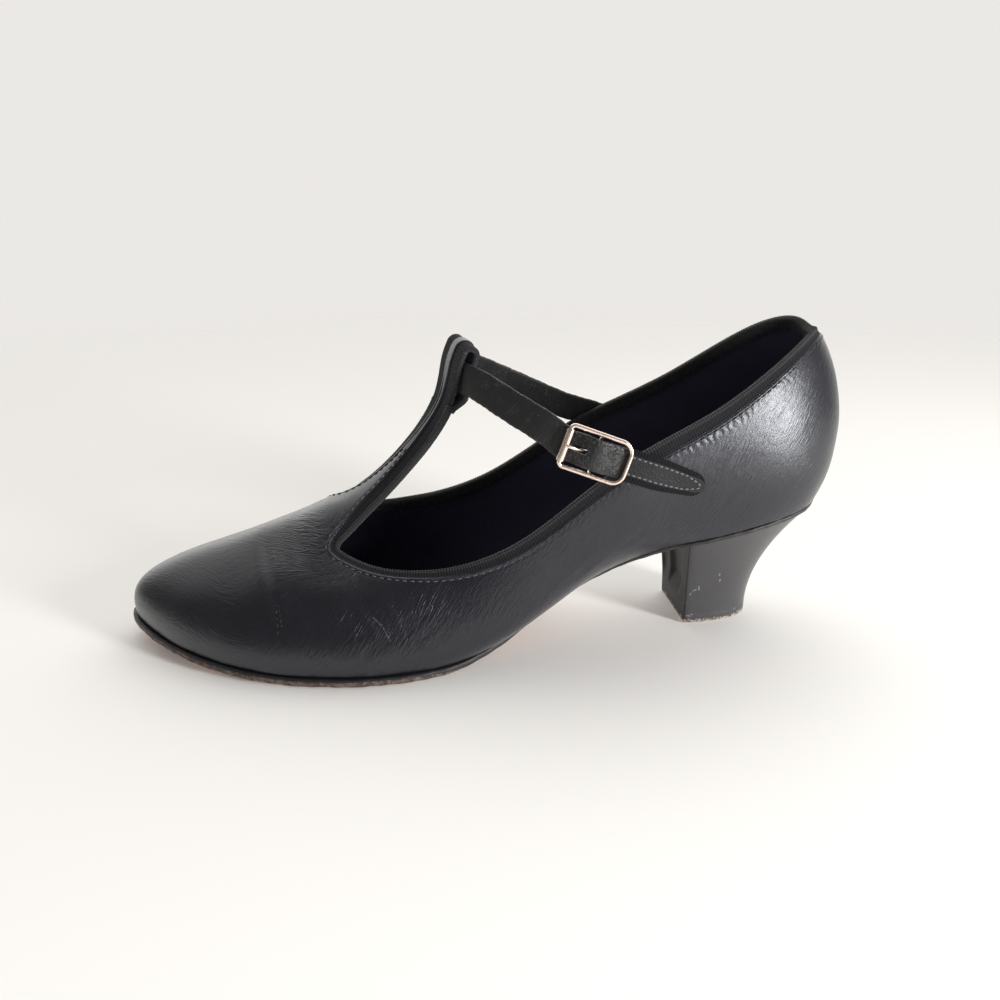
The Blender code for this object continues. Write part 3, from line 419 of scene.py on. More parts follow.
def wall_at(along, height, side):
    """(u, v) of the wall seen from one side at a place along the shoe and a height, by Newton's method."""
    along, height = np.broadcast_arrays(np.asarray(along, float), np.asarray(height, float))
    u = np.interp(along, [14.0, 34.0, 57.0, 78.0, 98.0, 118.0, 139.0], [1.0, 2.0, 3.0, 4.0, 5.0, 6.0, 7.0])
    if side > 0:
        u = SECTION_COUNT - u
    v = np.full(u.shape, 0.8)
    step = 1e-4
    for _ in range(30):
        here = wall_point(u, v)
        by_u = (wall_point(u + step, v) - here) / step
        by_v = (wall_point(u, v + step) - here) / step
        miss_x = -along - here[..., 0]
        miss_z = height - here[..., 2]
        scale = by_u[..., 0] * by_v[..., 2] - by_v[..., 0] * by_u[..., 2]
        u = u + np.clip((miss_x * by_v[..., 2] - by_v[..., 0] * miss_z) / scale, -0.5, 0.5)
        v = v + np.clip((by_u[..., 0] * miss_z - miss_x * by_u[..., 2]) / scale, -0.3, 0.3)
    return u, v


@functools.lru_cache(maxsize=1)
def tbar_length():
    """Dense middle line of the T-bar with its half width, and the distance of each place from the
    throat."""
    curve = cubic_through([(-along, 0.0, height, half) for along, height, half in TBAR_PATH], closed=False)
    dense = curve(np.linspace(0.0, len(TBAR_PATH) - 1.0, 400))
    return dense, distance_along(dense[:, :3])


def tbar_front(stops):
    """Rows of the T-bar at distances from the throat. It is tilted so that its inner edge stands higher,
    its edges bend down a little, its outer edge flares to a sharp corner of the throat and its inner one
    widens in a quarter round."""
    dense, reach = tbar_length()
    full = reach[-1]
    stops = np.atleast_1d(np.asarray(stops, float))

    def corner_round(radius):
        short = np.clip(radius - stops, 0.0, None)
        return radius - np.sqrt(radius**2 - short**2)

    here, ahead, behind = (rows_at(np.clip(stops + step, 0.0, full), reach, dense)
                           for step in (0.0, 0.5, -0.5))
    way = unit(ahead[:, :3] - behind[:, :3])
    upright = np.stack([-way[:, 2], np.zeros(len(stops)), way[:, 0]], -1)
    tilt = TBAR_BASE_TILT + (TBAR_TILT - TBAR_BASE_TILT) * smooth_step(0.0, TBAR_TWIST_LENGTH, stops)[:, None]
    across = INWARD_SIDE * np.cos(tilt) + upright * np.sin(tilt)
    face = upright * np.cos(tilt) - INWARD_SIDE * np.sin(tilt)
    flare = TBAR_FLARE * np.clip(1.0 - stops / TBAR_FLARE_LENGTH, 0.0, None) ** TBAR_FLARE_POWER
    outer = here[:, 3] + corner_round(TBAR_CORNER) + flare
    inner = here[:, 3] + corner_round(TBAR_FILLET)
    curvature = TBAR_CURVATURE * (1.0 - smooth_step(0.5 * full, 0.8 * full, stops))
    return BAR_ROWS(here[:, :3], way, face, across, outer, inner, curvature, stops)


def tbar_rows():
    """Rows up the T-bar, in a half round over the fold at its top and down the loop's tail behind the
    strap, and the number of rows on its front."""
    full = tbar_length()[1][-1]
    corner = TBAR_FILLET * (1.0 - np.cos(np.linspace(0.0, math.pi / 2, 13)))
    stops = np.concatenate([corner, np.linspace(corner[-1], full, 61)[1:]])
    front = tbar_front(stops)
    radius = WALL + LOOP_GAP + STRAP_THICK / 2
    top_face, top_way = front.face[-1], front.way[-1]
    centre = front.middle[-1] - top_face * radius
    angle = np.linspace(0.0, math.pi, 17)[1:, None]
    face = top_face * np.cos(angle) + top_way * np.sin(angle)
    way = top_way * np.cos(angle) - top_face * np.sin(angle)
    share = np.linspace(0.0, 1.0, 19)[1:]

    def same_width(count):
        """Outer and inner half widths of the loop and its curvature, which is none."""
        return [np.full(count, value) for value in (front.outer[-1], front.inner[-1], 0.0)]

    turned = np.tile(front.across[-1], (len(angle), 1))
    fold = BAR_ROWS(centre + face * radius, way, face, turned, *same_width(len(angle)),
                    full + radius * angle[:, 0])
    beside = tbar_front(full - LOOP_TAIL * share)
    closing = (STRAP_THICK + 2.0 * LOOP_GAP - GAP) * smooth_step(0.75, 1.0, share)
    hanging = beside.middle - beside.face * (2.0 * radius - closing)[:, None]
    tail = BAR_ROWS(hanging, -beside.way, -beside.face, beside.across, *same_width(len(share)),
                    fold.stop[-1] + LOOP_TAIL * share)
    joined = BAR_ROWS(*(np.concatenate(parts) for parts in zip(front, fold, tail)))
    return joined, len(stops)


def grid_quads(rows, columns, closed, offset=0, ring=False):
    """Quads of a grid whose points are numbered row by row, its columns closed or open, and its rows in a
    ring or not."""
    row = np.arange(rows if ring else rows - 1)[:, None]
    column = np.arange(columns if closed else columns - 1)[None, :]
    after = (column + 1) % columns
    low = offset + row * columns
    high = offset + (row + 1) % rows * columns
    corners = np.broadcast_arrays(low + column, high + column, high + after, low + after)
    return np.stack(corners, -1).reshape(-1, 4)


def grid_normals(grid, towards):
    """Normals of an open grid from its slopes both ways, turned to the side of the given directions."""
    normals = unit(np.cross(np.gradient(grid, axis=0), np.gradient(grid, axis=1)))
    side = np.sign(np.sum(normals * towards, axis=-1, keepdims=True))
    return normals * np.where(side == 0, 1.0, side)


def uv_rows(first, second):
    """The two coordinates of each point of a grid, as rows."""
    return np.stack(np.broadcast_arrays(first, second), -1).reshape(-1, 2)


def nearest_numbers(points, line):
    """Number of the nearest of the line's points and its distance, for each point, in blocks of whole
    arrays."""
    numbers, distances = [], []
    for block in np.array_split(points, max(1, len(points) // 1200)):
        squares = np.sum(block**2, 1)[:, None] + np.sum(line**2, 1)[None, :] - 2.0 * block @ line.T
        nearest = np.argmin(squares, axis=1)
        numbers.append(nearest)
        distances.append(np.linalg.norm(block - line[nearest], axis=1))
    return np.concatenate(numbers), np.concatenate(distances)


def even_line(points, carried, step):
    """The line through the points with even steps, directions carried along with it, and its distances."""
    reach = distance_along(points)
    even = np.linspace(0.0, reach[-1], max(2, int(round(reach[-1] / step)) + 1))
    return rows_at(even, reach, points), unit(rows_at(even, reach, carried)), even


@functools.lru_cache(maxsize=1)
def skin():
    """The upper's outer face before its relief: the wall as Bezier sections round the shoe, the T-bar grown
    from its throat, distances from the ribbon's lower edge, and the line of the open edge."""
    columns = SECTION_COUNT * COLUMNS_PER_SECTION
    u = np.arange(columns) / COLUMNS_PER_SECTION
    _, _, second, top = wall_handles(u)
    pace = 3.0 * np.linalg.norm(top - second, axis=-1)
    body = np.linspace(0.0, 1.0, BODY_ROWS + 1)[:-1, None] * (1.0 - EDGE_ZONE / pace)[None, :]
    near = 1.0 - np.linspace(EDGE_ZONE, 0.0, EDGE_ROWS + 1)[:, None] / pace[None, :]
    v = np.concatenate([body, near])
    ring = wall_point(u[None, :], v)
    ring_normals = wall_normal(np.broadcast_to(u, v.shape), v)
    rows = len(v)
    first, last = (round(section * COLUMNS_PER_SECTION) for section in TBAR_SECTIONS)
    base = ring[-1, first : last + 1]
    spread = distance_along(base)
    bar, front_count = tbar_rows()
    place = spread / spread[-1] * (bar.outer + bar.inner)[:, None] - bar.outer[:, None]
    strips = bar.middle[:, None] + bar.across[:, None] * place[..., None]
    strips = strips - bar.face[:, None] * (place**2 * bar.curvature[:, None])[..., None]
    near_base = 1.0 - smooth_step(0.0, TBAR_BLEND, bar.stop)
    strips = strips + (base - strips[0]) * near_base[:, None, None]
    bar_normals = grid_normals(strips, np.broadcast_to(bar.face[:, None], strips.shape))
    bar_normals = unit(bar_normals + (ring_normals[-1, first : last + 1] - bar_normals) *
                       (1.0 - smooth_step(0.0, 6.0, bar.stop))[:, None, None])
    bar_columns = last - first + 1
    bar_start = rows * columns
    points = np.concatenate([ring.reshape(-1, 3), strips[1:].reshape(-1, 3)])
    normals = np.concatenate([ring_normals.reshape(-1, 3), bar_normals[1:].reshape(-1, 3)])
    join = (rows - 1) * columns + first + np.arange(bar_columns - 1)
    above = bar_start + np.arange(bar_columns - 1)
    faces = np.concatenate([
        grid_quads(rows, columns, closed=True),
        np.stack([join, above, above + 1, join + 1], -1),
        grid_quads(len(strips) - 1, bar_columns, closed=False, offset=bar_start),
    ])
    outer = bar_start + np.arange(front_count - 1) * bar_columns
    round_back = np.concatenate([np.arange(first, -1, -1), np.arange(columns - 1, last - 1, -1)])
    collar = (rows - 1) * columns + round_back
    edge = np.concatenate([outer[::-1], collar, outer + bar_columns - 1])
    bar_width = np.interp(bar.stop[1:front_count], *BAR_RIBBON)
    edge_width = np.concatenate([bar_width[::-1], np.interp(-points[collar, 0], *COLLAR_RIBBON), bar_width])
    line, line_normals, reach = even_line(points[edge], normals[edge], 0.2)
    line_width = np.interp(reach, distance_along(points[edge]), edge_width)
    beyond = unit(np.cross(unit(np.gradient(line, axis=0)), line_normals))
    beyond = beyond * np.sign(beyond[len(beyond) // 2, 2])
    edge_uv = np.full((len(points), 2), 60.0)
    near_edge = np.concatenate([
        np.arange((BODY_ROWS - 14) * columns, bar_start),
        bar_start + np.arange((front_count - 1) * bar_columns),
    ])
    number, distance = nearest_numbers(points[near_edge], line)
    edge_uv[near_edge] = np.stack([reach[number], distance - line_width[number]], -1)
    behind = bar_start + (front_count - 1) * bar_columns
    loop_distance = np.minimum(place + bar.outer[:, None], bar.inner[:, None] - place)[front_count:]
    edge_uv[behind:] = uv_rows(reach[-1] + bar.stop[front_count:, None], loop_distance - BAR_RIBBON[1][-1])
    return SKIN(points, normals, faces, edge_uv, wrinkle_map(points), line, line_normals, beyond, reach,
                line_width)


def wrinkle_map(points):
    """Across and along the run of the leather's fine wrinkles: lines that lean back on the quarters and lie
    slanting over the toe and the top of the vamp, as a blend of two turned pairs of axes."""
    along, height, across = -points[:, 0] - 205.0, points[:, 2] - 20.0, points[:, 1]
    top = smooth_step(6.0, 16.0, height) * smooth_step(-45.0, -25.0, along)
    toe = np.maximum(smooth_step(-14.0, 26.0, along), top)[:, None]
    steep = np.stack([0.82 * along + 0.57 * height, -0.57 * along + 0.82 * height], -1)
    flat = np.stack([0.34 * across + 0.94 * height - 0.15 * along, -0.98 * along], -1)
    return steep * (1.0 - toe) + flat * toe


# Width of the ribbon that shows above the leather's fold: on the collar by along, on the T-bar by distance
COLLAR_RIBBON = ((6.0, 25.0, 45.0, 65.0, 90.0, 115.0, 140.0, 176.0), (1.9, 2.5, 3.2, 3.7, 3.2, 2.6, 2.1, 2.0))
BAR_RIBBON = ((0.0, 15.0, 45.0, 60.0), (2.2, 4.2, 5.5, 6.0))

# Places where the leather bends most: along, across, height, reach and how much its wrinkles deepen
BENDS = (
    (157.0, -40.0, 12.0, 15.0, 1.1),
    (146.0, -37.5, 18.0, 12.0, 0.5),
    (171.0, -41.0, 8.0, 13.0, 1.3),
    (120.0, -34.0, 24.0, 17.0, 0.9),
    (96.0, -31.0, 32.0, 15.0, 1.0),
    (184.0, -10.0, 39.0, 12.0, 1.6),
    (212.0, -12.0, 27.0, 22.0, -0.45),
    (74.0, -30.0, 42.0, 13.0, 1.2),
    (54.0, -28.0, 52.0, 13.0, 1.0),
    (28.0, -22.0, 72.0, 20.0, -0.3),
    (160.0, 36.0, 20.0, 18.0, 2.0),
    (180.0, 20.0, 38.0, 16.0, 1.2),
)

# Creases worn into the leather: points in along, across and height, then half width and depth of the trough
CREASES = (
    (((194.3, -26.2, 26.3), (194.4, -30.0, 22.5), (194.2, -33.7, 17.7)), 1.1, 0.6),
    (((200.8, 2.9, 38.4), (199.0, -10.5, 35.5), (196.3, -22.7, 28.4)), 1.6, 0.5),
    (((190.0, 6.0, 42.0), (188.5, -8.0, 39.8), (187.0, -19.0, 34.0)), 1.7, 0.42),
    (((167.4, -32.0, 26.6), (163.0, -36.8, 20.5), (159.4, -40.2, 15.2)), 1.2, 0.26),
    (((163.4, -33.2, 25.6), (159.2, -37.8, 19.5), (155.4, -40.4, 14.0)), 1.2, 0.24),
    (((171.2, -33.0, 25.0), (167.4, -37.6, 18.5), (164.6, -40.6, 13.2)), 1.2, 0.16),
    (((145.3, -36.4, 22.9), (151.0, -38.4, 18.6), (157.0, -40.4, 13.0)), 1.3, 0.22),
    (((141.0, -36.6, 21.4), (146.6, -38.8, 16.4), (152.6, -40.6, 10.8)), 1.3, 0.2),
    (((150.6, -36.6, 22.6), (157.0, -39.2, 17.0), (163.6, -41.4, 10.4)), 1.3, 0.2),
    (((137.0, -36.4, 21.8), (142.0, -38.4, 15.8), (147.0, -40.0, 10.6)), 1.3, 0.16),
    (((160.0, -39.0, 18.0), (167.7, -41.7, 9.4), (174.0, -41.4, 6.2)), 1.3, 0.18),
    (((111.0, -33.4, 23.4), (106.5, -32.4, 28.4), (102.6, -31.8, 33.0)), 1.6, 0.14),
    (((99.0, -31.2, 27.6), (94.6, -30.6, 32.0), (90.4, -30.4, 36.6)), 1.6, 0.14),
    (((82.0, -30.0, 37.0), (78.0, -29.9, 41.0), (74.6, -29.9, 45.0)), 1.5, 0.16),
    (((49.6, -28.4, 49.6), (47.6, -28.4, 52.4), (45.4, -28.4, 55.2)), 1.2, 0.28),
    (((190.0, 24.0, 35.0), (193.0, 32.0, 27.0), (193.6, 36.0, 19.0)), 2.0, 0.3),
    (((166.0, 36.6, 26.0), (162.0, 38.0, 19.0), (158.0, 38.0, 12.0)), 1.4, 0.24),
    (((160.0, 36.6, 26.0), (156.0, 37.4, 19.0), (152.0, 37.0, 12.0)), 1.4, 0.2),
)

CREASE_POINTS = 60

# Pale scratches on the leather: from and to, in along, across and height
SCRATCHES = (
    ((194.6, -28.6, 23.9), (193.8, -34.2, 16.9)),
    ((193.6, -29.1, 23.7), (192.6, -33.4, 18.8)),
    ((196.6, -9.7, 35.6), (195.4, -14.2, 33.7)),
    ((163.6, -36.8, 21.5), (161.2, -38.4, 19.2)),
    ((161.1, -38.2, 19.6), (158.9, -40.4, 15.1)),
)
# White scuffs on the heel's outer side: from and to, in along, across and height
HEEL_SCUFFS = (
    ((53.2, -14.8, 11.6), (52.9, -14.95, 12.2)),
    ((52.2, -15.1, 13.3), (51.2, -15.25, 13.7)),
    ((50.3, -15.4, 14.9), (50.1, -15.2, 13.6)),
    ((43.3, -16.2, 19.7), (43.3, -16.05, 19.2)),
    ((42.7, -15.4, 17.1), (42.7, -15.2, 16.5)),
)


def crease_relief(surface, depth_scale):
    """Soft troughs along the listed lines with a low ridge on each side: minus a bell at the line plus two
    smaller bells beside it, fading out at both ends of each line."""
    points = surface.points
    relief = np.zeros(len(points))
    for places, width, depth in CREASES:
        stops = np.linspace(0.0, len(places) - 1.0, CREASE_POINTS)
        line, _ = onto_skin(cubic_through(last_points(places), closed=False)(stops), surface, points)
        low, high = line.min(0) - 4.0 * width - 1.0, line.max(0) + 4.0 * width + 1.0
        close = np.flatnonzero(np.all((points > low) & (points < high), axis=1))
        number, distance = nearest_numbers(points[close], line)
        ends = np.sin(math.pi * (number + 0.5) / CREASE_POINTS) ** 0.6
        shape = -swell(distance, 0.0, width) + 0.45 * swell(distance, 1.9 * width, 0.8 * width)
        relief[close] += shape * ends * depth * depth_scale
    return relief


def bend_map(surface):
    """How deep the leather's wrinkles are at each point, a sum of bells round the bends, and how far the
    seam gathers it: most along the quarters, little at the throat and none on the loop."""
    points = surface.points
    depth = np.ones(len(points))
    for *place, reach, gain in BENDS:
        depth += gain * swell(np.linalg.norm(points - last_points(place), axis=1), 0.0, reach)
    gather = np.interp(-points[:, 0], (20.0, 55.0, 100.0, 150.0), (0.7, 1.0, 0.6, 0.3))
    return np.stack([depth, gather * (points[:, 2] < 90.0)], -1)


def skin_relief(surface, look):
    """Height of the leather over the plain wall: sunk along the ribbon, a raised fold beside it, a shallow
    furrow under the stitches, slow waves of a worn wall, and the creases."""
    distance = surface.edge_uv[:, 1]
    relief = -0.5 * (1.0 - smooth_step(-0.35, 0.3, distance))
    x, y, z = surface.points.T
    below_loop = 1.0 - smooth_step(84.0, 92.0, z) * (x < -120.0)
    relief += (0.16 * swell(distance, 0.55, 0.45) - 0.1 * swell(distance, 1.4, 0.45)) * below_loop
    waves = np.sin(0.19 * x + 0.11 * z + 0.6) * np.sin(0.23 * z - 0.07 * x) * np.sin(0.13 * y + 0.4)
    relief += 0.14 * waves * smooth_step(4.0, 10.0, distance)
    return relief + crease_relief(surface, look.crease_depth / MM)


def raised_skin(look):
    """Points of the skin with its relief."""
    surface = skin()
    return surface.points + surface.normals * skin_relief(surface, look)[:, None]


def onto_skin(points, surface, raised):
    """Foot of each point on the raised skin, by the tangent plane at the nearest of its points, with the
    normal."""
    number, _ = nearest_numbers(points, raised)
    normal = surface.normals[number]
    height = np.sum((points - raised[number]) * normal, axis=1, keepdims=True)
    return points - normal * height, normal


def placed(name, data):
    """A new object in the scene."""
    made = bpy.data.objects.new(name, data)
    bpy.context.scene.collection.objects.link(made)
    return made


def turn_outward(mesh):
    """Turns all faces of a closed mesh to its outside."""
    cage = bmesh.new()
    cage.from_mesh(mesh)
    bmesh.ops.recalc_face_normals(cage, faces=cage.faces)
    cage.to_mesh(mesh)
    cage.free()


def new_piece(name, points, faces, materials, replaced=(), uv_maps=None, caps=(), turn=False,
              smooth=60.0):
    """Mesh object from points in the last's millimetres, with its UV maps, riding on the shoe's one
    body."""
    mesh = bpy.data.meshes.new(name)
    polygons = np.asarray(faces).tolist() + [list(map(int, cap)) for cap in caps]
    mesh.from_pydata(((np.asarray(points) + SHIFT) * MM).tolist(), [], polygons)
    if turn:
        turn_outward(mesh)
    corners = np.empty(len(mesh.loops), np.int64)
    mesh.loops.foreach_get("vertex_index", corners)
    for map_name, values in (uv_maps or {}).items():
        layer = mesh.uv_layers.new(name=map_name)
        layer.data.foreach_set("uv", np.asarray(values, np.float32)[corners].ravel())
    for finish in materials:
        mesh.materials.append(finish)
    mesh.shade_smooth()
    if smooth < 180.0:
        mesh.set_sharp_from_angle(angle=math.radians(smooth))
    piece = placed(name, mesh)
    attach(piece, "root")
    if replaced:
        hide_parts(*replaced)
    return piece


def closed_faces(rows, columns, offset=0):
    """Quads of a closed tube of rows, and the two caps at its ends."""
    faces = grid_quads(rows, columns, closed=True, offset=offset)
    return faces, [offset + np.arange(columns), offset + (rows - 1) * columns + np.arange(columns)]


def loft_piece(name, sections, finish, replaced, uv_maps=None, smooth=60.0):
    """Piece from closed sections joined one to the next, with a cap at each end."""
    faces, caps = closed_faces(*sections.shape[:2])
    return new_piece(name, sections.reshape(-1, 3), faces, [finish], replaced, uv_maps, caps, turn=True,
                     smooth=smooth)


def quarter_frame(along, height, side, level):
    """Points at a level above the quarter's outer face, with its outward direction there."""
    u, v = wall_at(along, height, side)
    normal = wall_normal(u, v)
    return wall_point(u, v) + normal * np.asarray(level)[..., None], normal


class BuckleFrame:
    """Place and directions of the buckle: along the strap towards the heel, upward, and outward."""

    def __init__(self):
        point, normal = quarter_frame(BUCKLE_ALONG, BUCKLE_HEIGHT, -1, np.array(0.0))
        self.origin = point
        self.out = normal
        slope = np.array([math.cos(BUCKLE_SLOPE), 0.0, -math.sin(BUCKLE_SLOPE)])
        self.along = across_normals(slope, normal)
        self.upward = unit(np.cross(self.along, normal))
        if self.upward[2] < 0:
            self.upward = -self.upward

    def points(self, rows):
        """Rows of along, upward and out as points of the last."""
        return self.origin + np.asarray(rows, float) @ np.stack([self.along, self.upward, self.out])


def facing_from_angles(run):
    """Directions from the last two columns of a run: degrees round from the toe and degrees upward."""
    turn, rise = np.radians(run)[:, 3:].T
    return np.stack([-np.cos(turn) * np.cos(rise), np.sin(turn) * np.cos(rise), np.sin(rise)], -1)


def loop_seat():
    """Row of the T-bar at the strap's height, moved to the middle of the strap behind it."""
    full = tbar_length()[1][-1]
    rows = tbar_front(np.linspace(full / 2, full, 200))
    best = np.argmin(np.abs(rows.middle[:, 2] - LOOP_HEIGHT))
    middle = rows.middle[best] - rows.face[best] * (WALL + LOOP_GAP + STRAP_THICK / 2)
    return middle, rows.across[best], rows.face[best]


def strap_knots(buckle):
    """Knots of the ankle strap's middle line and the way it faces: from its sewn end on the inner quarter,
    through the T-bar's loop, to its free end under the far bar of the buckle."""
    slope = math.tan(BUCKLE_SLOPE)
    along = STRAP_END_ALONG + 9.0 * np.arange(5)
    height = STRAP_END_HEIGHT + (along - STRAP_END_ALONG) * slope * 0.92
    sewn, sewn_normals = quarter_frame(along, height, 1, np.full(5, GAP + STRAP_THICK / 2))
    middle, across, face = loop_seat()
    through = middle + np.outer([9.0, 6.0, 3.0, 0.0, -3.0, -6.0, -9.0], across)
    inner, outer = (last_points(run) for run in (STRAP_INNER_RUN, STRAP_OUTER_RUN))
    inner_facing, outer_facing = (facing_from_angles(run) for run in (STRAP_INNER_RUN, STRAP_OUTER_RUN))
    under = GAP + TAB_THICK + GAP + STRAP_THICK / 2 + 0.3
    over = BAR_LEVEL + BAR_RADIUS + GAP + TAB_THICK + GAP + STRAP_THICK / 2
    end = BUCKLE_LENGTH / 2 - 0.2
    buckled = buckle.points([(-10.0, 0.0, 1.6), (-6.8, 0.0, 2.7), (-2.6, 0.0, over - 0.5), (0.0, 0.0, over),
                             (2.6, 0.0, over - 0.5), (6.8, 0.0, under + 0.7), (end, 0.0, under)])
    points = np.concatenate([sewn, inner, through, outer, buckled])
    in_loop, at_buckle = np.tile(face, (len(through), 1)), np.tile(buckle.out, (len(buckled), 1))
    return points, np.concatenate([sewn_normals, inner_facing, in_loop, outer_facing, at_buckle])


def tab_knots(buckle):
    """Knots of the tab's middle line on the outer quarter, and round the buckle's bar at its end."""
    level = GAP + TAB_THICK / 2
    along = STRAP_END_ALONG + 6.0 * np.arange(5)
    height = BUCKLE_HEIGHT - (BUCKLE_ALONG - along) * math.tan(BUCKLE_SLOPE) * 0.94
    sewn, sewn_normals = quarter_frame(along, height, -1, np.full(5, level))
    fold = BAR_RADIUS + GAP + TAB_THICK / 2
    angle = np.radians(np.arange(-70.0, -331.0, -26.0))
    spokes = np.stack([np.cos(angle), np.zeros(len(angle)), np.sin(angle)], -1)
    folded = buckle.points(spokes * fold + np.array([0.0, 0.0, BAR_LEVEL]))
    facing = -(np.outer(spokes[:, 0], buckle.along) + np.outer(spokes[:, 2], buckle.out))
    points = np.concatenate([sewn, buckle.points([(6.0, 0.0, level + 0.3)]), folded])
    return points, np.concatenate([sewn_normals, buckle.out[None], facing])


def line_at(points, normals, stops):
    """Smooth curve through the knots at the given shares of its length, with its facing and its
    distances."""
    both = cubic_through(np.concatenate([points, normals], axis=1), closed=False)
    dense = both(np.linspace(0.0, len(points) - 1.0, 2400))
    reach = distance_along(dense[:, :3])
    rows = rows_at(stops * reach[-1], reach, dense)
    return rows[:, :3], unit(rows[:, 3:]), stops * reach[-1]


def band_profile(rounding, count=11):
    """Closed outline of a flat band, as shares of its half width and half thickness: flat faces and edges
    that are rounded over the given share of the width."""
    flat = np.linspace(-1.0, 1.0, count) * (1.0 - rounding)
    bend = np.linspace(math.pi / 2, -math.pi / 2, 9)[1:-1]
    spread = np.concatenate([flat, 1.0 - rounding + rounding * np.cos(bend), flat[::-1],
                             -(1.0 - rounding + rounding * np.cos(bend))])
    level = np.concatenate([np.ones(count), np.sin(bend), -np.ones(count), -np.sin(bend)])
    return spread, level


def swept_band(middle, normal, half, spread, level):
    """A closed profile carried along a line: middle plus across times the spread times the half width, plus
    the facing times the level."""
    way = unit(np.gradient(middle, axis=0))
    across = unit(np.cross(normal, way))
    points = middle[:, None] + across[:, None] * (spread * half[:, None])[..., None]
    return points + normal[:, None] * np.broadcast_to(level, points.shape[:2])[..., None]


def tube(path, radius, sides, closed, across):
    """Round wire: a circle carried along the path in the plane of its turned side and the given
    direction."""
    way = np.gradient(path, axis=0)
    if closed:
        way = np.roll(path, -1, 0) - np.roll(path, 1, 0)
    way = unit(way)
    across = across_normals(across, way)
    beside = np.cross(way, across)
    turn = np.linspace(0.0, 2.0 * math.pi, sides, endpoint=False)
    ring = across[:, None] * np.cos(turn)[None, :, None] + beside[:, None] * np.sin(turn)[None, :, None]
    return path[:, None] + ring * np.broadcast_to(radius, (len(path),))[:, None, None]


BEAD_RINGS, BEAD_SIDES = 7, 8


def stitches(name, thread, centres, ways, normals, length, radius):
    """Piece of threads laid along a seam: each is a long bead, an ellipsoid whose ends dip into the
    leather."""
    lift = np.linspace(-1.0, 1.0, BEAD_RINGS)[:, None]
    turn = np.linspace(0.0, 2.0 * math.pi, BEAD_SIDES, endpoint=False)[None, :]
    girth = np.sqrt(np.clip(1.0 - lift**4, 0.02, 1.0))
    along = np.broadcast_to(lift * length / 2.0, (BEAD_RINGS, BEAD_SIDES))
    side = girth * np.cos(turn) * radius
    height = girth * np.sin(turn) * radius + radius * (0.25 - 0.9 * lift**4)
    across = np.cross(normals, ways)
    points = centres[:, None, None] + sum(
        direction[:, None, None] * share[None, ..., None]
        for direction, share in ((ways, along), (across, side), (normals, height)))
    offsets = np.arange(len(centres))[:, None, None] * BEAD_RINGS * BEAD_SIDES
    faces, ends = closed_faces(BEAD_RINGS, BEAD_SIDES)
    caps = np.concatenate([end + offsets[:, 0] for end in ends])
    new_piece(name, points.reshape(-1, 3), (faces + offsets).reshape(-1, 4), [thread], (), None, caps,
              turn=True, smooth=180.0)


def carve(piece, low, high, buckle):
    """Cuts a box laid out in the buckle's own directions out of a piece, and keeps the cut mesh."""
    corner = np.array([(a, b, c) for a in (0, 1) for b in (0, 1) for c in (0, 1)], float)
    places = buckle.points(np.asarray(low) + corner * (np.asarray(high) - np.asarray(low)))
    mesh = bpy.data.meshes.new("slot_cutter")
    sides = [(0, 1, 3, 2), (4, 6, 7, 5), (0, 4, 5, 1), (2, 3, 7, 6), (0, 2, 6, 4), (1, 5, 7, 3)]
    mesh.from_pydata(((places + SHIFT) * MM).tolist(), [], sides)
    turn_outward(mesh)
    cutter = placed("slot_cutter", mesh)
    slot = piece.modifiers.new("slot", "BOOLEAN")
    slot.operation = "DIFFERENCE"
    slot.solver = "EXACT"
    slot.object = cutter
    bpy.context.view_layer.update()
    graph = bpy.context.evaluated_depsgraph_get()
    carved = bpy.data.meshes.new_from_object(piece.evaluated_get(graph))
    piece.modifiers.clear()
    piece.data = carved
    carved.name = piece.name
    bpy.data.objects.remove(cutter)
    bpy.data.meshes.remove(mesh)


# Shader nodes
def plug(tree, node, inputs):
    """Sets a node's inputs to values, or links them to sockets."""
    for key, value in inputs.items():
        if isinstance(value, bpy.types.NodeSocket):
            tree.links.new(value, node.inputs[key])
        else:
            node.inputs[key].default_value = value


def add(tree, kind, inputs=None, **settings):
    """A new node with its settings and its inputs."""
    node = tree.nodes.new(kind)
    for name, value in settings.items():
        setattr(node, name, value)
    plug(tree, node, inputs or {})
    return node


def calc(tree, operation, *values):
    return add(tree, "ShaderNodeMath", dict(enumerate(values)), operation=operation).outputs[0]


def times(tree, *values):
    """Product of two or more values."""
    return functools.reduce(functools.partial(calc, tree, "MULTIPLY"), values)


def largest(tree, *values):
    """Largest of two or more values."""
    return functools.reduce(functools.partial(calc, tree, "MAXIMUM"), values)


def plus(tree, value, factor, base):
    """Value times a factor, plus a base."""
    return calc(tree, "MULTIPLY_ADD", value, factor, base)


def vector_calc(tree, operation, *vectors, output="Vector"):
    return add(tree, "ShaderNodeVectorMath", dict(enumerate(vectors)), operation=operation).outputs[output]


def scaled(tree, vector, factors):
    return vector_calc(tree, "MULTIPLY", vector, factors)


def axes(tree, vector):
    """X, Y and Z of a vector."""
    return add(tree, "ShaderNodeSeparateXYZ", {0: vector}).outputs


def span(tree, value, low, high, bottom=0.0, top=1.0):
    """Value carried smoothly from one range to another and held at its ends."""
    inputs = {"Value": value, "From Min": low, "From Max": high, "To Min": bottom, "To Max": top}
    return add(tree, "ShaderNodeMapRange", inputs, interpolation_type="SMOOTHSTEP").outputs["Result"]


def fade(tree, value, low, high):
    """Falls smoothly from 1 at low to 0 at high."""
    return span(tree, value, low, high, 1.0, 0.0)


def blend(tree, share, first, second):
    """Mix of two colours."""
    return add(tree, "ShaderNodeMix", {0: share, 6: first, 7: second}, data_type="RGBA").outputs[2]


def colour(values):
    return (*values[:3], 1.0)


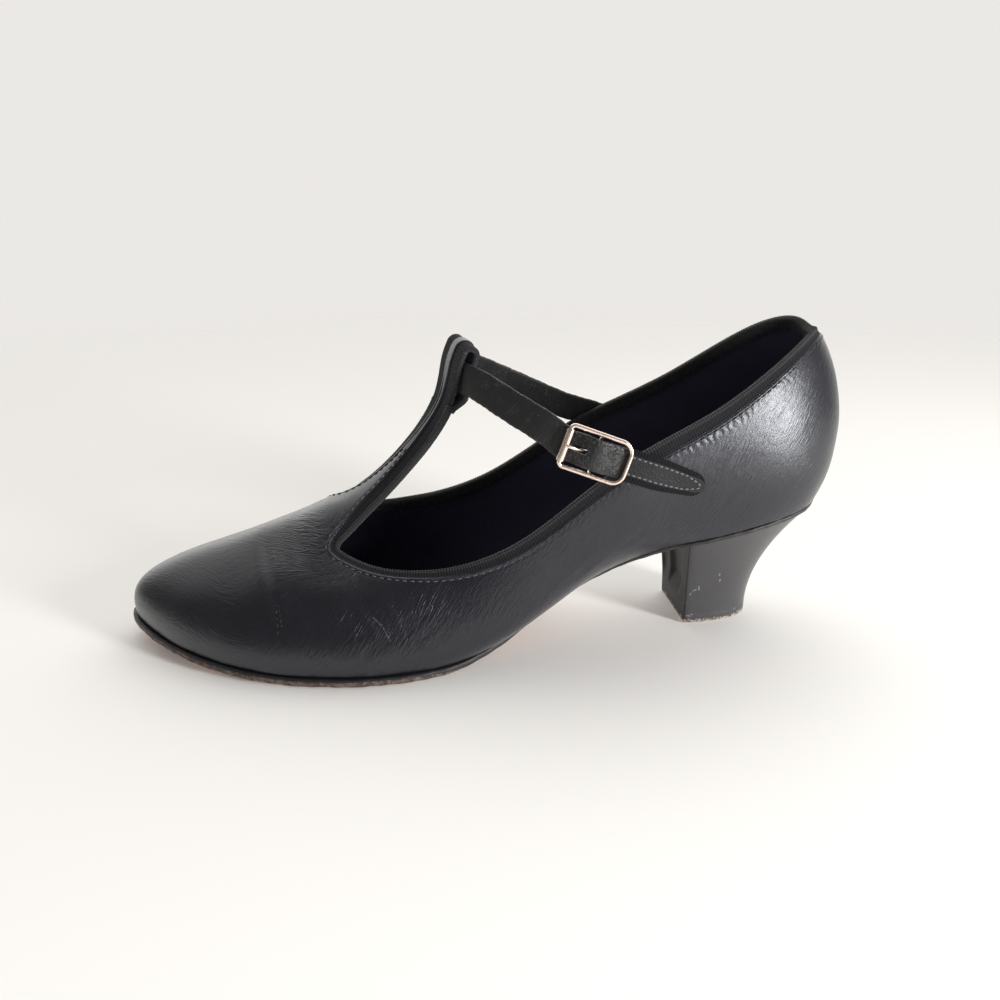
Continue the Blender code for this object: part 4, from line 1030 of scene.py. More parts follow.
def lighter(values, factor):
    """A colour with its parts multiplied, to 1 at most."""
    return colour([min(1.0, value * factor) for value in values])


def shades(tree, share, values, dark, pale):
    """Mix of a darker and a paler tone of one colour."""
    return blend(tree, share, lighter(values, dark), lighter(values, pale))


def noise(tree, vector, scale, detail=2.0, roughness=0.5, distortion=0.0):
    inputs = {"Vector": vector, "Scale": scale, "Detail": detail, "Roughness": roughness,
              "Distortion": distortion}
    return add(tree, "ShaderNodeTexNoise", inputs).outputs["Fac"]


def cells(tree, vector, scale, feature):
    inputs = {"Vector": vector, "Scale": scale}
    return add(tree, "ShaderNodeTexVoronoi", inputs, feature=feature).outputs["Distance"]


def bump(tree, height, distance):
    """Normal of a relief: its height is in shares of a distance in metres."""
    inputs = {"Height": height, "Distance": distance, "Strength": 1.0}
    return add(tree, "ShaderNodeBump", inputs).outputs["Normal"]


def object_mm(tree):
    """Object coordinates in millimetres."""
    return scaled(tree, tree.nodes.new("ShaderNodeTexCoord").outputs["Object"], (1000.0, 1000.0, 1000.0))


def uv_mm(tree, name):
    return add(tree, "ShaderNodeUVMap", uv_map=name).outputs["UV"]


def effect_group(name, inputs, outputs):
    """An empty shader node group with named sockets: its tree, its inputs by name and its output node. An
    input with no number of its own is a vector."""
    tree = bpy.data.node_groups.new(name, "ShaderNodeTree")
    for socket, value in inputs.items():
        kind = "NodeSocketVector" if value is None else "NodeSocketFloat"
        made = tree.interface.new_socket(socket, in_out="INPUT", socket_type=kind)
        if value is not None:
            made.default_value = value
    for socket in outputs:
        tree.interface.new_socket(socket, in_out="OUTPUT", socket_type="NodeSocketFloat")
    return tree, tree.nodes.new("NodeGroupInput").outputs, tree.nodes.new("NodeGroupOutput")


def use(tree, group, inputs):
    """Places a node group in a material with its own values."""
    return add(tree, "ShaderNodeGroup", inputs, node_tree=group).outputs


@functools.lru_cache(maxsize=None)
def grain_group():
    """Pebbled leather grain: rounded cells over a finer noise. Vector is in millimetres."""
    inputs = {"Vector": None, "Cells per mm": 1.6}
    tree, given, out = effect_group("leather_grain", inputs, ("Height", "Tone"))
    drift = add(tree, "ShaderNodeTexNoise", {"Vector": given["Vector"], "Scale": 0.8}).outputs["Color"]
    bent = vector_calc(tree, "ADD", given["Vector"], scaled(tree, drift, (0.7, 0.7, 0.7)))
    pebble = cells(tree, bent, given["Cells per mm"], "SMOOTH_F1")
    fine = noise(tree, given["Vector"], 5.0)
    plug(tree, out, {
        "Height": plus(tree, pebble, -0.7, times(tree, fine, 0.35)),
        "Tone": noise(tree, given["Vector"], 0.07, detail=4.0, roughness=0.6),
    })
    return tree


@functools.lru_cache(maxsize=None)
def wrinkle_group():
    """Fine wrinkles of bent leather: thin furrows drawn out along one direction, in two sizes, the larger
    gathered in patches. Vector is across and along the wrinkles in millimetres."""
    tree, given, out = effect_group("leather_wrinkles", {"Vector": None, "Spacing mm": 1.4}, ("Height",))
    pace = calc(tree, "DIVIDE", 1.0, given["Spacing mm"])
    drawn = scaled(tree, given["Vector"], (1.0, 0.15, 1.0))

    def furrows(factor, width):
        swirl = noise(tree, drawn, times(tree, pace, factor), distortion=0.2)
        return span(tree, calc(tree, "ABSOLUTE", calc(tree, "SUBTRACT", swirl, 0.5)), 0.0, width)

    patches = span(tree, noise(tree, given["Vector"], 0.09, detail=3.0), 0.4, 0.66)
    coarse = times(tree, furrows(0.7, 0.12), plus(tree, patches, 0.7, 0.05))
    plug(tree, out, {"Height": plus(tree, furrows(1.5, 0.16), 0.4, coarse)})
    return tree


@functools.lru_cache(maxsize=None)
def ribbon_group():
    """Grosgrain ribbon: round ribs across its run with threads along them. Shade is painted shade, darker in
    the troughs between the ribs, with random fuzz. Vector is distance along the ribbon and across it in
    millimetres."""
    tree, given, out = effect_group("grosgrain_ribs", {"Vector": None, "Rib mm": 0.9}, ("Height", "Shade"))
    parts = axes(tree, given["Vector"])

    def wave(turn):
        return plus(tree, calc(tree, "SINE", turn), 0.5, 0.5)

    rib = wave(times(tree, calc(tree, "DIVIDE", parts["X"], given["Rib mm"]), 2.0 * math.pi))
    thread = wave(times(tree, parts["Y"], 16.0))
    fuzz = noise(tree, given["Vector"], 3.5, detail=3.0)
    # Shade darkens the ribbon's colour where the ribs are low: painted shade, with random fuzz
    plug(tree, out, {
        "Height": plus(tree, calc(tree, "ADD", thread, fuzz), 0.16, rib),
        "Shade": times(tree, plus(tree, rib, 0.65, 0.35), fuzz),
    })
    return tree


@functools.lru_cache(maxsize=None)
def scuff_group():
    """Scuffs: short pale rubs drawn out one way, and small flecks. Vector is in millimetres."""
    tree, given, out = effect_group("scuffs", {"Vector": None, "Amount": 0.5}, ("Rubs", "Flecks"))

    def past_limit(value, factor, base, width):
        limit = plus(tree, given["Amount"], factor, base)
        return span(tree, value, limit, calc(tree, "ADD", limit, width))

    drawn = noise(tree, scaled(tree, given["Vector"], (0.35, 1.0, 1.3)), 0.35, detail=6.0, roughness=0.7)
    small = noise(tree, given["Vector"], 1.7, detail=3.0, roughness=0.6)
    plug(tree, out, {
        "Rubs": past_limit(drawn, -0.16, 0.78, 0.07),
        "Flecks": past_limit(small, -0.1, 0.8, 0.03),
    })
    return tree


@functools.lru_cache(maxsize=None)
def scratch_group():
    """One thin scratch: how near a place is to the line between two points, broken up by noise. All in
    millimetres."""
    tree, given, out = effect_group("scratch", {"Vector": None, "Start": None, "End": None}, ("Mask",))
    run = vector_calc(tree, "SUBTRACT", given["End"], given["Start"])
    off = vector_calc(tree, "SUBTRACT", given["Vector"], given["Start"])
    way, whole = (vector_calc(tree, "DOT_PRODUCT", vector, run, output="Value") for vector in (off, run))
    foot = vector_calc(tree, "MULTIPLY", run, span(tree, calc(tree, "DIVIDE", way, whole), 0.0, 1.0))
    close = fade(tree, vector_calc(tree, "DISTANCE", off, foot, output="Value"), 0.12, 0.36)
    broken = span(tree, noise(tree, given["Vector"], 0.9), 0.3, 0.6, 0.08, 0.4)
    plug(tree, out, {"Mask": times(tree, close, broken)})
    return tree


def scratched(tree, place, lines):
    """Mask of thin scratches along lines given by their ends."""
    return largest(tree, *(use(tree, scratch_group(), {"Vector": place, "Start": start, "End": end})["Mask"]
                           for start, end in lines))


def scratch_lines(look):
    """Ends of the scratches on the creased skin, each scratch in two pieces."""
    raised = raised_skin(look)
    for ends in SCRATCHES:
        first, last = last_points(ends)
        places, _ = onto_skin(np.stack([first, (first + last) / 2.0, last]), skin(), raised)
        places = (places + SHIFT).tolist()
        yield from zip(places, places[1:])


def new_finish(name):
    """A node material, its tree and its shader."""
    made = bpy.data.materials.new(name)
    made.use_nodes = True
    return made, made.node_tree, made.node_tree.nodes["Principled BSDF"]


@functools.lru_cache(maxsize=None)
def skin_finish():
    """Satin black leather with fine wrinkles, a ribbed ribbon band along the open edge with painted shade
    between its ribs, a rolled fold beside it that is made lighter in patches, partly as wear and partly as a
    painted highlight, and puckers under the stitches."""
    look = bpy.context.scene.shoe_leather
    made, tree, shader = new_finish("black_leather_skin")
    place = object_mm(tree)
    edge = uv_mm(tree, "edge")
    reach, below, _ = axes(tree, edge)
    depth, gather, _ = axes(tree, uv_mm(tree, "bends"))
    on_ribbon = fade(tree, below, -0.15, 0.1)
    grain = use(tree, grain_group(), {"Vector": place, "Cells per mm": 2.1})
    wrinkles = use(tree, wrinkle_group(), {"Vector": uv_mm(tree, "wrinkle"), "Spacing mm": 1.15})
    ribs = use(tree, ribbon_group(), {"Vector": edge, "Rib mm": look.ribbon_rib / MM})
    rubs = use(tree, scuff_group(), {"Vector": place, "Amount": 0.35})
    # Painted highlight and wear: the rolled fold beside the ribbon is made lighter in patches, partly worn
    # leather and partly a painted highlight of the lit fold
    fold = times(tree, span(tree, below, 0.05, 0.3), fade(tree, below, 0.6, 1.1))
    worn = times(tree, fold, span(tree, noise(tree, place, 0.5, detail=3.0), 0.35, 0.6))
    leather = shades(tree, grain["Tone"], look.leather_colour, 0.75, 1.3)
    leather = blend(tree, times(tree, worn, 0.3), leather, lighter(look.leather_colour, 6.0))
    pale = largest(tree, times(tree, rubs["Rubs"], 0.12), times(tree, rubs["Flecks"], 0.6),
                   scratched(tree, place, scratch_lines(look)))
    leather = blend(tree, pale, leather, WORN_LEATHER)
    # Painted shade: the ribbon band's colour is darker between its ribs
    cloth = shades(tree, ribs["Shade"], look.ribbon_colour, 0.5, 1.8)
    gloss = plus(tree, grain["Tone"], 0.14, look.leather_roughness - 0.07)
    gloss = plus(tree, rubs["Rubs"], 0.1, gloss)
    phase = times(tree, reach, 2.0 * math.pi / (look.stitch_pitch / MM))
    wave = calc(tree, "SINE", plus(tree, noise(tree, place, 0.35), 9.0, phase))
    uneven = span(tree, noise(tree, place, 0.12), 0.35, 0.65, 0.3, 1.3)
    near = times(tree, span(tree, below, 1.2, 1.6), fade(tree, below, 1.7, 5.2))
    pucker = times(tree, wave, uneven, near, gather)
    roll = calc(tree, "SINE", span(tree, below, 0.05, 1.3, 0.0, math.pi))
    height = plus(tree, grain["Height"], 0.5, times(tree, wrinkles["Height"], depth))
    height = plus(tree, times(tree, roll, gather), 2.6, height)
    height = plus(tree, pucker, 0.75, height)
    height = times(tree, height, calc(tree, "SUBTRACT", 1.0, on_ribbon))
    height = plus(tree, times(tree, ribs["Height"], on_ribbon), 2.0, height)
    plug(tree, shader, {
        "Base Color": blend(tree, on_ribbon, leather, cloth),
        "Roughness": largest(tree, gloss, times(tree, on_ribbon, 0.97)),
        "Specular Tint": (0.93, 0.95, 1.0, 1.0),
        "Normal": bump(tree, height, look.wrinkle_depth),
    })
    return made


@functools.lru_cache(maxsize=None)
def lining_finish():
    """Matt navy lining with a fine nap."""
    look = bpy.context.scene.shoe_leather
    made, tree, shader = new_finish("navy_lining_cloth")
    place = object_mm(tree)
    grain = use(tree, grain_group(), {"Vector": place, "Cells per mm": 3.0})
    plug(tree, shader, {
        "Base Color": shades(tree, grain["Tone"], look.lining_colour, 0.7, 1.4),
        "Roughness": 0.85,
        "Normal": bump(tree, grain["Height"], 0.00008),
    })
    return made


@functools.lru_cache(maxsize=None)
def ribbon_finish():
    """Black grosgrain ribbon."""
    look = bpy.context.scene.shoe_leather
    made, tree, shader = new_finish("black_ribbon_cloth")
    ribs = use(tree, ribbon_group(), {"Vector": uv_mm(tree, "edge"), "Rib mm": look.ribbon_rib / MM})
    plug(tree, shader, {
        # Painted shade: the ribbon's colour is darker between its ribs
        "Base Color": shades(tree, ribs["Shade"], look.ribbon_colour, 0.5, 1.8),
        "Roughness": 0.82,
        "Sheen Weight": 0.15,
        "Normal": bump(tree, ribs["Height"], 0.00016),
    })
    return made


@functools.lru_cache(maxsize=None)
def thread_finish(name, values, glint_factor=1.0):
    """Twisted sewing thread, made lighter by a factor at the throat as a painted highlight for its glints."""
    made, tree, shader = new_finish(name)
    place = object_mm(tree)
    twist = noise(tree, scaled(tree, place, (6.0, 6.0, 9.0)), 1.0)
    parts = axes(tree, place)
    # Painted highlight: near the throat the thread's colour is made lighter to stand for the glints on its
    # stitches
    throat = times(tree, fade(tree, parts["X"], 0.0, 22.0), fade(tree, parts["Z"], 41.0, 47.0))
    low, high = (shades(tree, throat, values, tone, tone * glint_factor) for tone in (0.55, 1.35))
    plug(tree, shader, {
        "Base Color": blend(tree, twist, low, high),
        "Roughness": 0.62,
        "Normal": bump(tree, twist, 0.00008),
    })
    return made


@functools.lru_cache(maxsize=None)
def strap_finish():
    """Plain black strap leather, finely cracked, its edges and some specks worn pale, and flaked where the
    buckle has pulled at it."""
    look = bpy.context.scene.shoe_leather
    made, tree, shader = new_finish("worn_strap_leather")
    place = object_mm(tree)
    band = uv_mm(tree, "band")
    grain = use(tree, grain_group(), {"Vector": place, "Cells per mm": 2.0})
    cracks = use(tree, wrinkle_group(), {"Vector": band, "Spacing mm": 1.3})
    rubs = use(tree, scuff_group(), {"Vector": place, "Amount": 1.0})
    rim = times(tree, span(tree, calc(tree, "ABSOLUTE", axes(tree, band)["Y"]), 4.2, 4.9),
                span(tree, noise(tree, place, 0.9, detail=4.0), 0.5, 0.66))
    crazed = times(tree, fade(tree, cells(tree, place, 0.9, "DISTANCE_TO_EDGE"), 0.0, 0.05),
                   span(tree, noise(tree, place, 0.16), 0.5, 0.62))
    parts = axes(tree, place)
    handled = times(tree, span(tree, parts["X"], 18.0, 25.0), fade(tree, parts["Y"], -14.0, -6.0))
    flaked = times(tree, handled, span(tree, noise(tree, place, 1.2, detail=5.0, roughness=0.7), 0.53, 0.63))
    pale = largest(tree, times(tree, rim, 0.3), times(tree, rubs["Flecks"], 0.7), times(tree, crazed, 0.25),
                   times(tree, flaked, 0.2))
    tone = shades(tree, grain["Tone"], look.strap_colour, 0.6, 1.4)
    gloss = plus(tree, flaked, 0.25, plus(tree, grain["Tone"], 0.2, 0.45))
    height = plus(tree, grain["Height"], 0.4, cracks["Height"])
    plug(tree, shader, {
        "Base Color": blend(tree, pale, tone, WORN_STRAP),
        "Roughness": plus(tree, handled, -0.12, gloss),
        "Normal": bump(tree, calc(tree, "SUBTRACT", height, plus(tree, flaked, 1.5, crazed)), 0.00009),
    })
    return made


@functools.lru_cache(maxsize=None)
def tab_finish():
    """Tab: worn leather in the middle, ribbed ribbon along both borders."""
    look = bpy.context.scene.shoe_leather
    made, tree, shader = new_finish("bordered_tab_leather")
    place = object_mm(tree)
    band = uv_mm(tree, "band")
    from_middle = axes(tree, band)["Y"]
    border = span(tree, from_middle, 0.62, 0.66)
    grain = use(tree, grain_group(), {"Vector": place, "Cells per mm": 1.6})
    ribs = use(tree, ribbon_group(), {"Vector": band, "Rib mm": 1.0})
    rubs = use(tree, scuff_group(), {"Vector": place, "Amount": 0.8})
    tone = shades(tree, grain["Tone"], look.leather_colour, 0.35, 0.8)
    tone = blend(tree, times(tree, rubs["Flecks"], 0.6), tone, WORN_STRAP)
    # Painted shade: the ribbed borders' colour is darker between the ribs
    cloth = shades(tree, ribs["Shade"], look.ribbon_colour, 0.5, 1.9)
    plug(tree, shader, {
        "Base Color": blend(tree, border, tone, cloth),
        "Roughness": span(tree, from_middle, 0.6, 0.66, 0.5, 0.95),
        "Specular IOR Level": 0.28,
        "Normal": bump(tree, blend(tree, border, grain["Height"], ribs["Height"]), 0.00012),
    })
    return made


@functools.lru_cache(maxsize=None)
def heel_finish(name="dark_heel_covering", torn_height=0.0):
    """Dark satin heel covering with faint brushing and white scuffs; the breast is rougher and painted
    near-black as painted shade. On the top piece it is torn to a pale brown over a ragged height above the
    floor, in millimetres."""
    look = bpy.context.scene.shoe_bottom
    made, tree, shader = new_finish(name)
    place = object_mm(tree)
    height_above = axes(tree, place)["Z"]
    breast = axes(tree, uv_mm(tree, "breast"))["X"]
    brushed = noise(tree, scaled(tree, place, (1.0, 1.0, 0.12)), 1.6, detail=4.0, roughness=0.6)
    drift = noise(tree, place, 0.08, detail=3.0)
    rubs = use(tree, scuff_group(), {"Vector": place, "Amount": 0.75})
    scuffs = scratched(tree, place, [(last_points(ends) + SHIFT).tolist() for ends in HEEL_SCUFFS])
    marks = largest(tree, times(tree, rubs["Rubs"], fade(tree, height_above, 5.0, 18.0)),
                    times(tree, rubs["Flecks"], 0.6), times(tree, scuffs, 1.4))
    tone = shades(tree, plus(tree, brushed, 0.6, times(tree, drift, 0.4)), look.heel_colour, 0.6, 1.5)
    tone = blend(tree, times(tree, marks, 0.75), tone, HEEL_WHITE)
    # Painted shade: the breast's colour is darkened to a near-black copy of the heel's colour
    tone = blend(tree, times(tree, breast, 0.85), tone, lighter(look.heel_colour, 0.12))
    rough = plus(tree, breast, 0.35, plus(tree, brushed, 0.22, 0.32))
    height = plus(tree, brushed, 0.5, noise(tree, place, 2.2))
    if torn_height:
        ragged = noise(tree, scaled(tree, place, (1.0, 1.0, 0.7)), 1.3, detail=6.0, roughness=0.7)
        limit = plus(tree, ragged, 3.2 * torn_height, -1.05 * torn_height)
        torn = span(tree, calc(tree, "SUBTRACT", limit, height_above), -0.12, 0.18)
        bare = shades(tree, span(tree, ragged, 0.35, 0.65), look.top_piece_colour, 0.5, 3.8)
        tone = blend(tree, torn, tone, bare)
        rough = plus(tree, torn, 0.4, rough)
        height = plus(tree, times(tree, ragged, torn), 3.0, height)
    plug(tree, shader, {
        "Base Color": tone,
        "Roughness": rough,
        "Coat Weight": 0.1,
        "Coat Roughness": 0.35,
        "Normal": bump(tree, height, 0.00006),
    })
    return made


@functools.lru_cache(maxsize=None)
def sole_finish():
    """Thin leather sole: black edge rubbed brown along the tread, tan suede underside with scratches and
    dirt."""
    look = bpy.context.scene.shoe_bottom
    made, tree, shader = new_finish("worn_sole_leather")
    place = object_mm(tree)
    level = axes(tree, uv_mm(tree, "sole"))["X"]
    spots = noise(tree, place, 0.45, detail=6.0, roughness=0.7)
    tread = noise(tree, place, 0.05, detail=4.0, roughness=0.6)
    rubs = use(tree, scuff_group(), {"Vector": place, "Amount": 0.9})
    suede = shades(tree, span(tree, tread, 0.35, 0.65), look.underside_colour, 0.5, 1.15)
    suede = blend(tree, times(tree, rubs["Rubs"], 0.5), suede, lighter(look.underside_colour, 0.2))
    along = calc(tree, "SUBTRACT", float(SHIFT[0]), axes(tree, place)["X"])
    worn = times(tree, span(tree, along, 120.0, 160.0), fade(tree, along, 240.0, 252.0))
    rub_line = plus(tree, worn, 1.55, plus(tree, spots, 1.9, -2.1))
    rubbed = fade(tree, calc(tree, "SUBTRACT", level, rub_line), -0.1, 0.15)
    flat = fade(tree, level, -1.0, -0.97)
    rub_tone = shades(tree, span(tree, spots, 0.4, 0.62), look.rub_colour, 0.45, 1.5)
    edge = blend(tree, rubbed, colour(look.sole_edge_colour), rub_tone)
    plug(tree, shader, {
        "Base Color": blend(tree, flat, edge, suede),
        "Roughness": span(tree, largest(tree, rubbed, flat), 0.0, 1.0, 0.5, 0.9),
        "Normal": bump(tree, spots, 0.0002),
    })
    return made


@functools.lru_cache(maxsize=None)
def buckle_finish():
    """Pale rose metal, polished, with fine scratches and a redder tone where the plating is worn."""
    look = bpy.context.scene.shoe_buckle
    made, tree, shader = new_finish("pale_rose_metal")
    place = object_mm(tree)
    wear = span(tree, noise(tree, place, 0.45, detail=4.0, roughness=0.6), 0.56, 0.72)
    scratch = noise(tree, scaled(tree, place, (1.0, 4.0, 4.0)), 2.5, detail=4.0)
    rough = plus(tree, scratch, 0.22, look.metal_roughness - 0.08)
    plug(tree, shader, {
        "Base Color": blend(tree, wear, colour(look.metal_colour), colour(look.worn_colour)),
        "Roughness": plus(tree, wear, 0.12, rough),
        "Metallic": 1.0,
        "Normal": bump(tree, scratch, 0.00003),
    })
    return made


def colour_property(name, description, default):
    return bpy.props.FloatVectorProperty(name=name, description=description, default=default, size=3,
                                         min=0.0, max=1.0, subtype="COLOR")


def number_property(name, description, default, low=0.0, **settings):
    return bpy.props.FloatProperty(name=name, description=description, default=default, min=low, **settings)


def length_property(name, description, default):
    return number_property(name, description, default, subtype="DISTANCE", unit="LENGTH", precision=5)


def share_property(name, description, default):
    return number_property(name, description, default, max=1.0, subtype="FACTOR")


class ShoeLeather(bpy.types.PropertyGroup):
    """Leather, ribbon, lining and thread."""

    leather_colour: colour_property("Leather", "Colour of the upper's leather", (0.0085, 0.0083, 0.0118))
    leather_roughness: share_property("Leather roughness", "How matt the leather is", 0.32)
    wrinkle_depth: length_property("Wrinkle depth", "Height of the leather's fine wrinkles", 0.000065)
    crease_depth: length_property("Crease depth", "Depth that the creases' own depths are shares of", 0.001)
    ribbon_colour: colour_property("Ribbon", "Colour of the grosgrain ribbon", (0.005, 0.005, 0.0068))
    ribbon_rib: length_property("Ribbon rib", "Distance between the ribbon's ribs", 0.0009)
    stitch_pitch: length_property("Stitch pitch", "Distance from one stitch to the next", 0.0024)
    thread_radius: length_property("Thread radius", "Half the thickness of the sewing thread", 0.00022)
    thread_colour: colour_property("Thread", "Colour of the topline's thread", (0.022, 0.022, 0.025))
    tab_thread_colour: colour_property("Tab thread", "Colour of the tab's thread", (0.15, 0.147, 0.145))
    lining_colour: colour_property("Lining", "Colour of the lining", (0.024, 0.024, 0.048))
    strap_colour: colour_property("Strap", "Colour of the ankle strap's leather", (0.005, 0.005, 0.0055))


class ShoeBottom(bpy.types.PropertyGroup):
    """Sole, heel and top piece."""

    heel_colour: colour_property("Heel", "Colour of the heel's covering", (0.032, 0.031, 0.033))
    sole_edge_colour: colour_property("Sole edge", "Colour of the sole's inked edge", (0.012, 0.011, 0.011))
    rub_colour: colour_property("Rubbed edge", "Colour of the sole's rubbed edge", (0.1, 0.07, 0.057))
    underside_colour: colour_property("Underside", "Colour of the sole's suede", (0.21, 0.12, 0.085))
    top_piece_colour: colour_property("Top piece", "Colour of the worn top piece", (0.115, 0.094, 0.081))


class ShoeBuckle(bpy.types.PropertyGroup):
    """Metal of the buckle."""

    metal_colour: colour_property("Metal", "Colour of the plating", (0.8, 0.66, 0.57))
    worn_colour: colour_property("Worn metal", "Colour where the plating is worn", (0.5, 0.25, 0.17))
    metal_roughness: share_property("Metal roughness", "How matt the metal is", 0.22)


class ShoeStage(bpy.types.PropertyGroup):
    """Floor, lights and camera."""

    floor_colour: colour_property("Floor", "Colour of the plain floor", (0.86, 0.845, 0.82))
    floor_glow: number_property("Floor glow", "Light that the floor gives off by itself", 0.1)
    bounce: number_property("Bounce", "Light that the floor throws up at the shoe", 0.45)
    back_colour: colour_property("Background", "Colour behind the floor", (0.83, 0.81, 0.785))
    dark_side: number_property("Front light", "Even light from the camera's side", 0.22)
    bright_side: number_property("Back light", "Even light from behind and above", 2.0)
    side_power: number_property("Side light", "Power of the soft light at the heel's side", 8.0, unit="POWER")
    lens: number_property("Lens", "Focal length of the camera in millimetres", 30.604, low=1.0)


def thicken(piece, name, thickness):
    """Gives a sheet its thickness in millimetres, on the side away from its normals."""
    body = piece.modifiers.new(name, "SOLIDIFY")
    body.thickness = thickness * MM
    body.offset = -1.0
    return body


def make_upper(look):
    """Leather skin: the last's surface raised by its relief, with the wall's thickness and the lining
    inside."""
    surface = skin()
    uv_maps = {"edge": surface.edge_uv, "wrinkle": surface.wrinkle_uv, "bends": bend_map(surface)}
    finishes = [skin_finish(), lining_finish(), ribbon_finish()]
    upper = new_piece("upper_skin", raised_skin(look), surface.faces, finishes, ["upper"],
                      uv_maps, smooth=180.0)
    wall = thicken(upper, "wall", WALL - 0.05)
    wall.material_offset = 1
    wall.material_offset_rim = 2


# The ribbon's section over the open edge: depth behind the skin and rise beyond the edge
RIBBON_CROWN = ((0.42, -0.5), (0.34, 0.0), (0.4, 0.36), (0.75, 0.6), (1.4, 0.68), (2.1, 0.62), (2.75, 0.4),
                (3.05, -0.1))
RIBBON_INSIDE = ((2.45, -0.1), (2.1, 0.16), (1.4, 0.2), (0.8, 0.16), (0.62, -0.1), (0.6, -0.5))


def make_ribbon(look):
    """Ribbon that caps the open edge and lies inside it: a bent flat profile carried round the edge, with
    the ribs as a small wave of its thickness."""
    surface = skin()
    keep = np.flatnonzero((surface.line[:, 2] < RIBBON_TOP) | (-surface.line[:, 0] < 125.0))
    line, normals, beyond = surface.line[keep], surface.line_normals[keep], surface.line_beyond[keep]
    reach = surface.line_reach[keep]
    foot, foot_normals = onto_skin(line - beyond * RIBBON_DEPTH, surface, surface.points)
    foot_normals = unit(foot_normals + 0.6 * normals)
    rib = 0.07 * np.cos(2.0 * math.pi * reach / (look.ribbon_rib / MM))[:, None]
    inner = WALL + 0.62
    sections = [line - normals * (depth - rib) + beyond * (rise + rib) for depth, rise in RIBBON_CROWN]
    sections += [foot - foot_normals * (inner + 0.55 + rib), foot - foot_normals * inner]
    sections += [line - normals * depth + beyond * rise for depth, rise in RIBBON_INSIDE]
    sections = np.stack(sections, axis=1)
    uv = uv_rows(reach[:, None], distance_along(sections[len(sections) // 2]))
    loft_piece("topline_ribbon_band", sections, ribbon_finish(), ["topline_ribbon"],
               {"edge": uv})


def make_stitches(look):
    """Row of stitches below the leather's fold, along the open edge up to the T-bar's upper half."""
    surface = skin()
    reach = surface.line_reach
    places = np.arange(1.5, reach[-1] - 1.5, look.stitch_pitch / MM)
    line, beyond = (rows_at(places, reach, rows) for rows in (surface.line, surface.line_beyond))
    down = np.interp(places, reach, surface.line_width) + 1.3
    centres, normals = onto_skin(line - unit(beyond) * down[:, None], surface, raised_skin(look))
    steps = np.gradient(centres, axis=0)
    ways = across_normals(steps, normals)
    apart = np.linalg.norm(steps, axis=1) > 1.3
    below_loop = (centres[:, 2] < 66.0) | (centres[:, 0] > -120.0)
    kept = apart & below_loop
    thread = thread_finish("black_thread", tuple(look.thread_colour), THROAT_PAINTED_GLINT)
    stitches("topline_stitches", thread, centres[kept], ways[kept], normals[kept],
             0.72 * look.stitch_pitch / MM, look.thread_radius / MM)


def bottom_limits(shift):
    """Outer and inner limits of a bottom piece as functions of along, from the upper's lower edge moved
    outwards."""
    u = np.linspace(0.0, SECTION_COUNT, 40 * SECTION_COUNT + 1)
    plan, outward = lower_edge(u)
    moved = plan + outward * np.asarray(shift(-plan[:, 0]))[:, None]
    along, across = -moved[:, 0], moved[:, 1]
    toe, heel = np.argmax(along), np.argmin(along[: len(along) // 4])
    outer = slice(heel, toe + 1)
    inner = slice(len(along) - 1, toe - 1, -1)

    def limits(place):
        return np.interp(place, along[outer], across[outer]), np.interp(place, along[inner], across[inner])

    return limits, along[heel], along[toe]


def overhang(along):
    """How far the sole stands out beyond the upper's lower edge."""
    front = smooth_step(118.0, 150.0, along)
    rear = 1.0 - smooth_step(BREAST_ALONG, BREAST_ALONG + 5.0, along)
    return OVERHANG_WAIST + (OVERHANG_TOE - OVERHANG_WAIST) * front + (OVERHANG_SEAT - OVERHANG_WAIST) * rear


def bottom_piece(name, shift, lower, upper, finish, replaced, rough):
    """Flat piece that follows the bottom of the last: at each place along it a flat outline with rounded
    edges, its width a little uneven by a sum of sines."""
    limits, back, front = bottom_limits(shift)
    share = (1.0 - np.cos(np.linspace(0.0, math.pi, 201))) / 2.0
    places = (back + (front - back) * share)[1:-1]
    low, high = limits(places)
    uneven = rough * (np.sin(places * 0.9) + np.sin(places * 0.37 + 1.0) + 0.6 * np.sin(places * 2.1 + 0.5))
    half = (high - low) / 2.0 + uneven * np.clip((high - low) / 30.0, 0.0, 1.0)
    centre = (high + low) / 2.0
    depth = (upper(places) - lower(places)) / 2.0
    level = (upper(places) + lower(places)) / 2.0
    radius = np.minimum(0.75 * depth, 0.5 * half)
    flat = np.linspace(-1.0, 1.0, 25)
    bend = np.linspace(math.pi / 2, -math.pi / 2, 13)[1:-1]
    straight, turned = np.ones(len(flat)), np.ones(len(bend))
    along_flat = np.concatenate([flat, turned, flat[::-1], -turned])
    round_out = np.concatenate([0.0 * straight, np.cos(bend), 0.0 * straight, -np.cos(bend)])
    side = np.concatenate([straight, np.sign(np.sin(bend)), -straight, -np.sign(np.sin(bend))])
    round_up = np.concatenate([straight, np.sin(bend), -straight, -np.sin(bend)])
    across = centre[:, None] + (half - radius)[:, None] * along_flat + radius[:, None] * round_out
    rise = (depth - radius)[:, None] * side + radius[:, None] * round_up
    sections = np.stack(np.broadcast_arrays(-places[:, None], across, level[:, None] + rise), -1)
    uv = uv_rows(rise / depth[:, None], np.abs(round_out))
    loft_piece(name, sections, finish, replaced, {"sole": uv})


def make_soles():
    """Outsole and insole, the insole tucked under the lining all round."""
    def tucked(along):
        return 0.4 * swell(along, 92.0, 30.0) - 0.25 * WALL

    def insole_bottom(along):
        return sole_top(along) + GAP

    def insole_top(along):
        return insole_bottom(along) + INSOLE

    bottom_piece("outsole_leather", overhang, sole_bottom, sole_top, sole_finish(),
                 ["outsole"], 0.12)
    bottom_piece("insole_sock", tucked, insole_bottom, insole_top, lining_finish(),
                 ["insole"], 0.0)


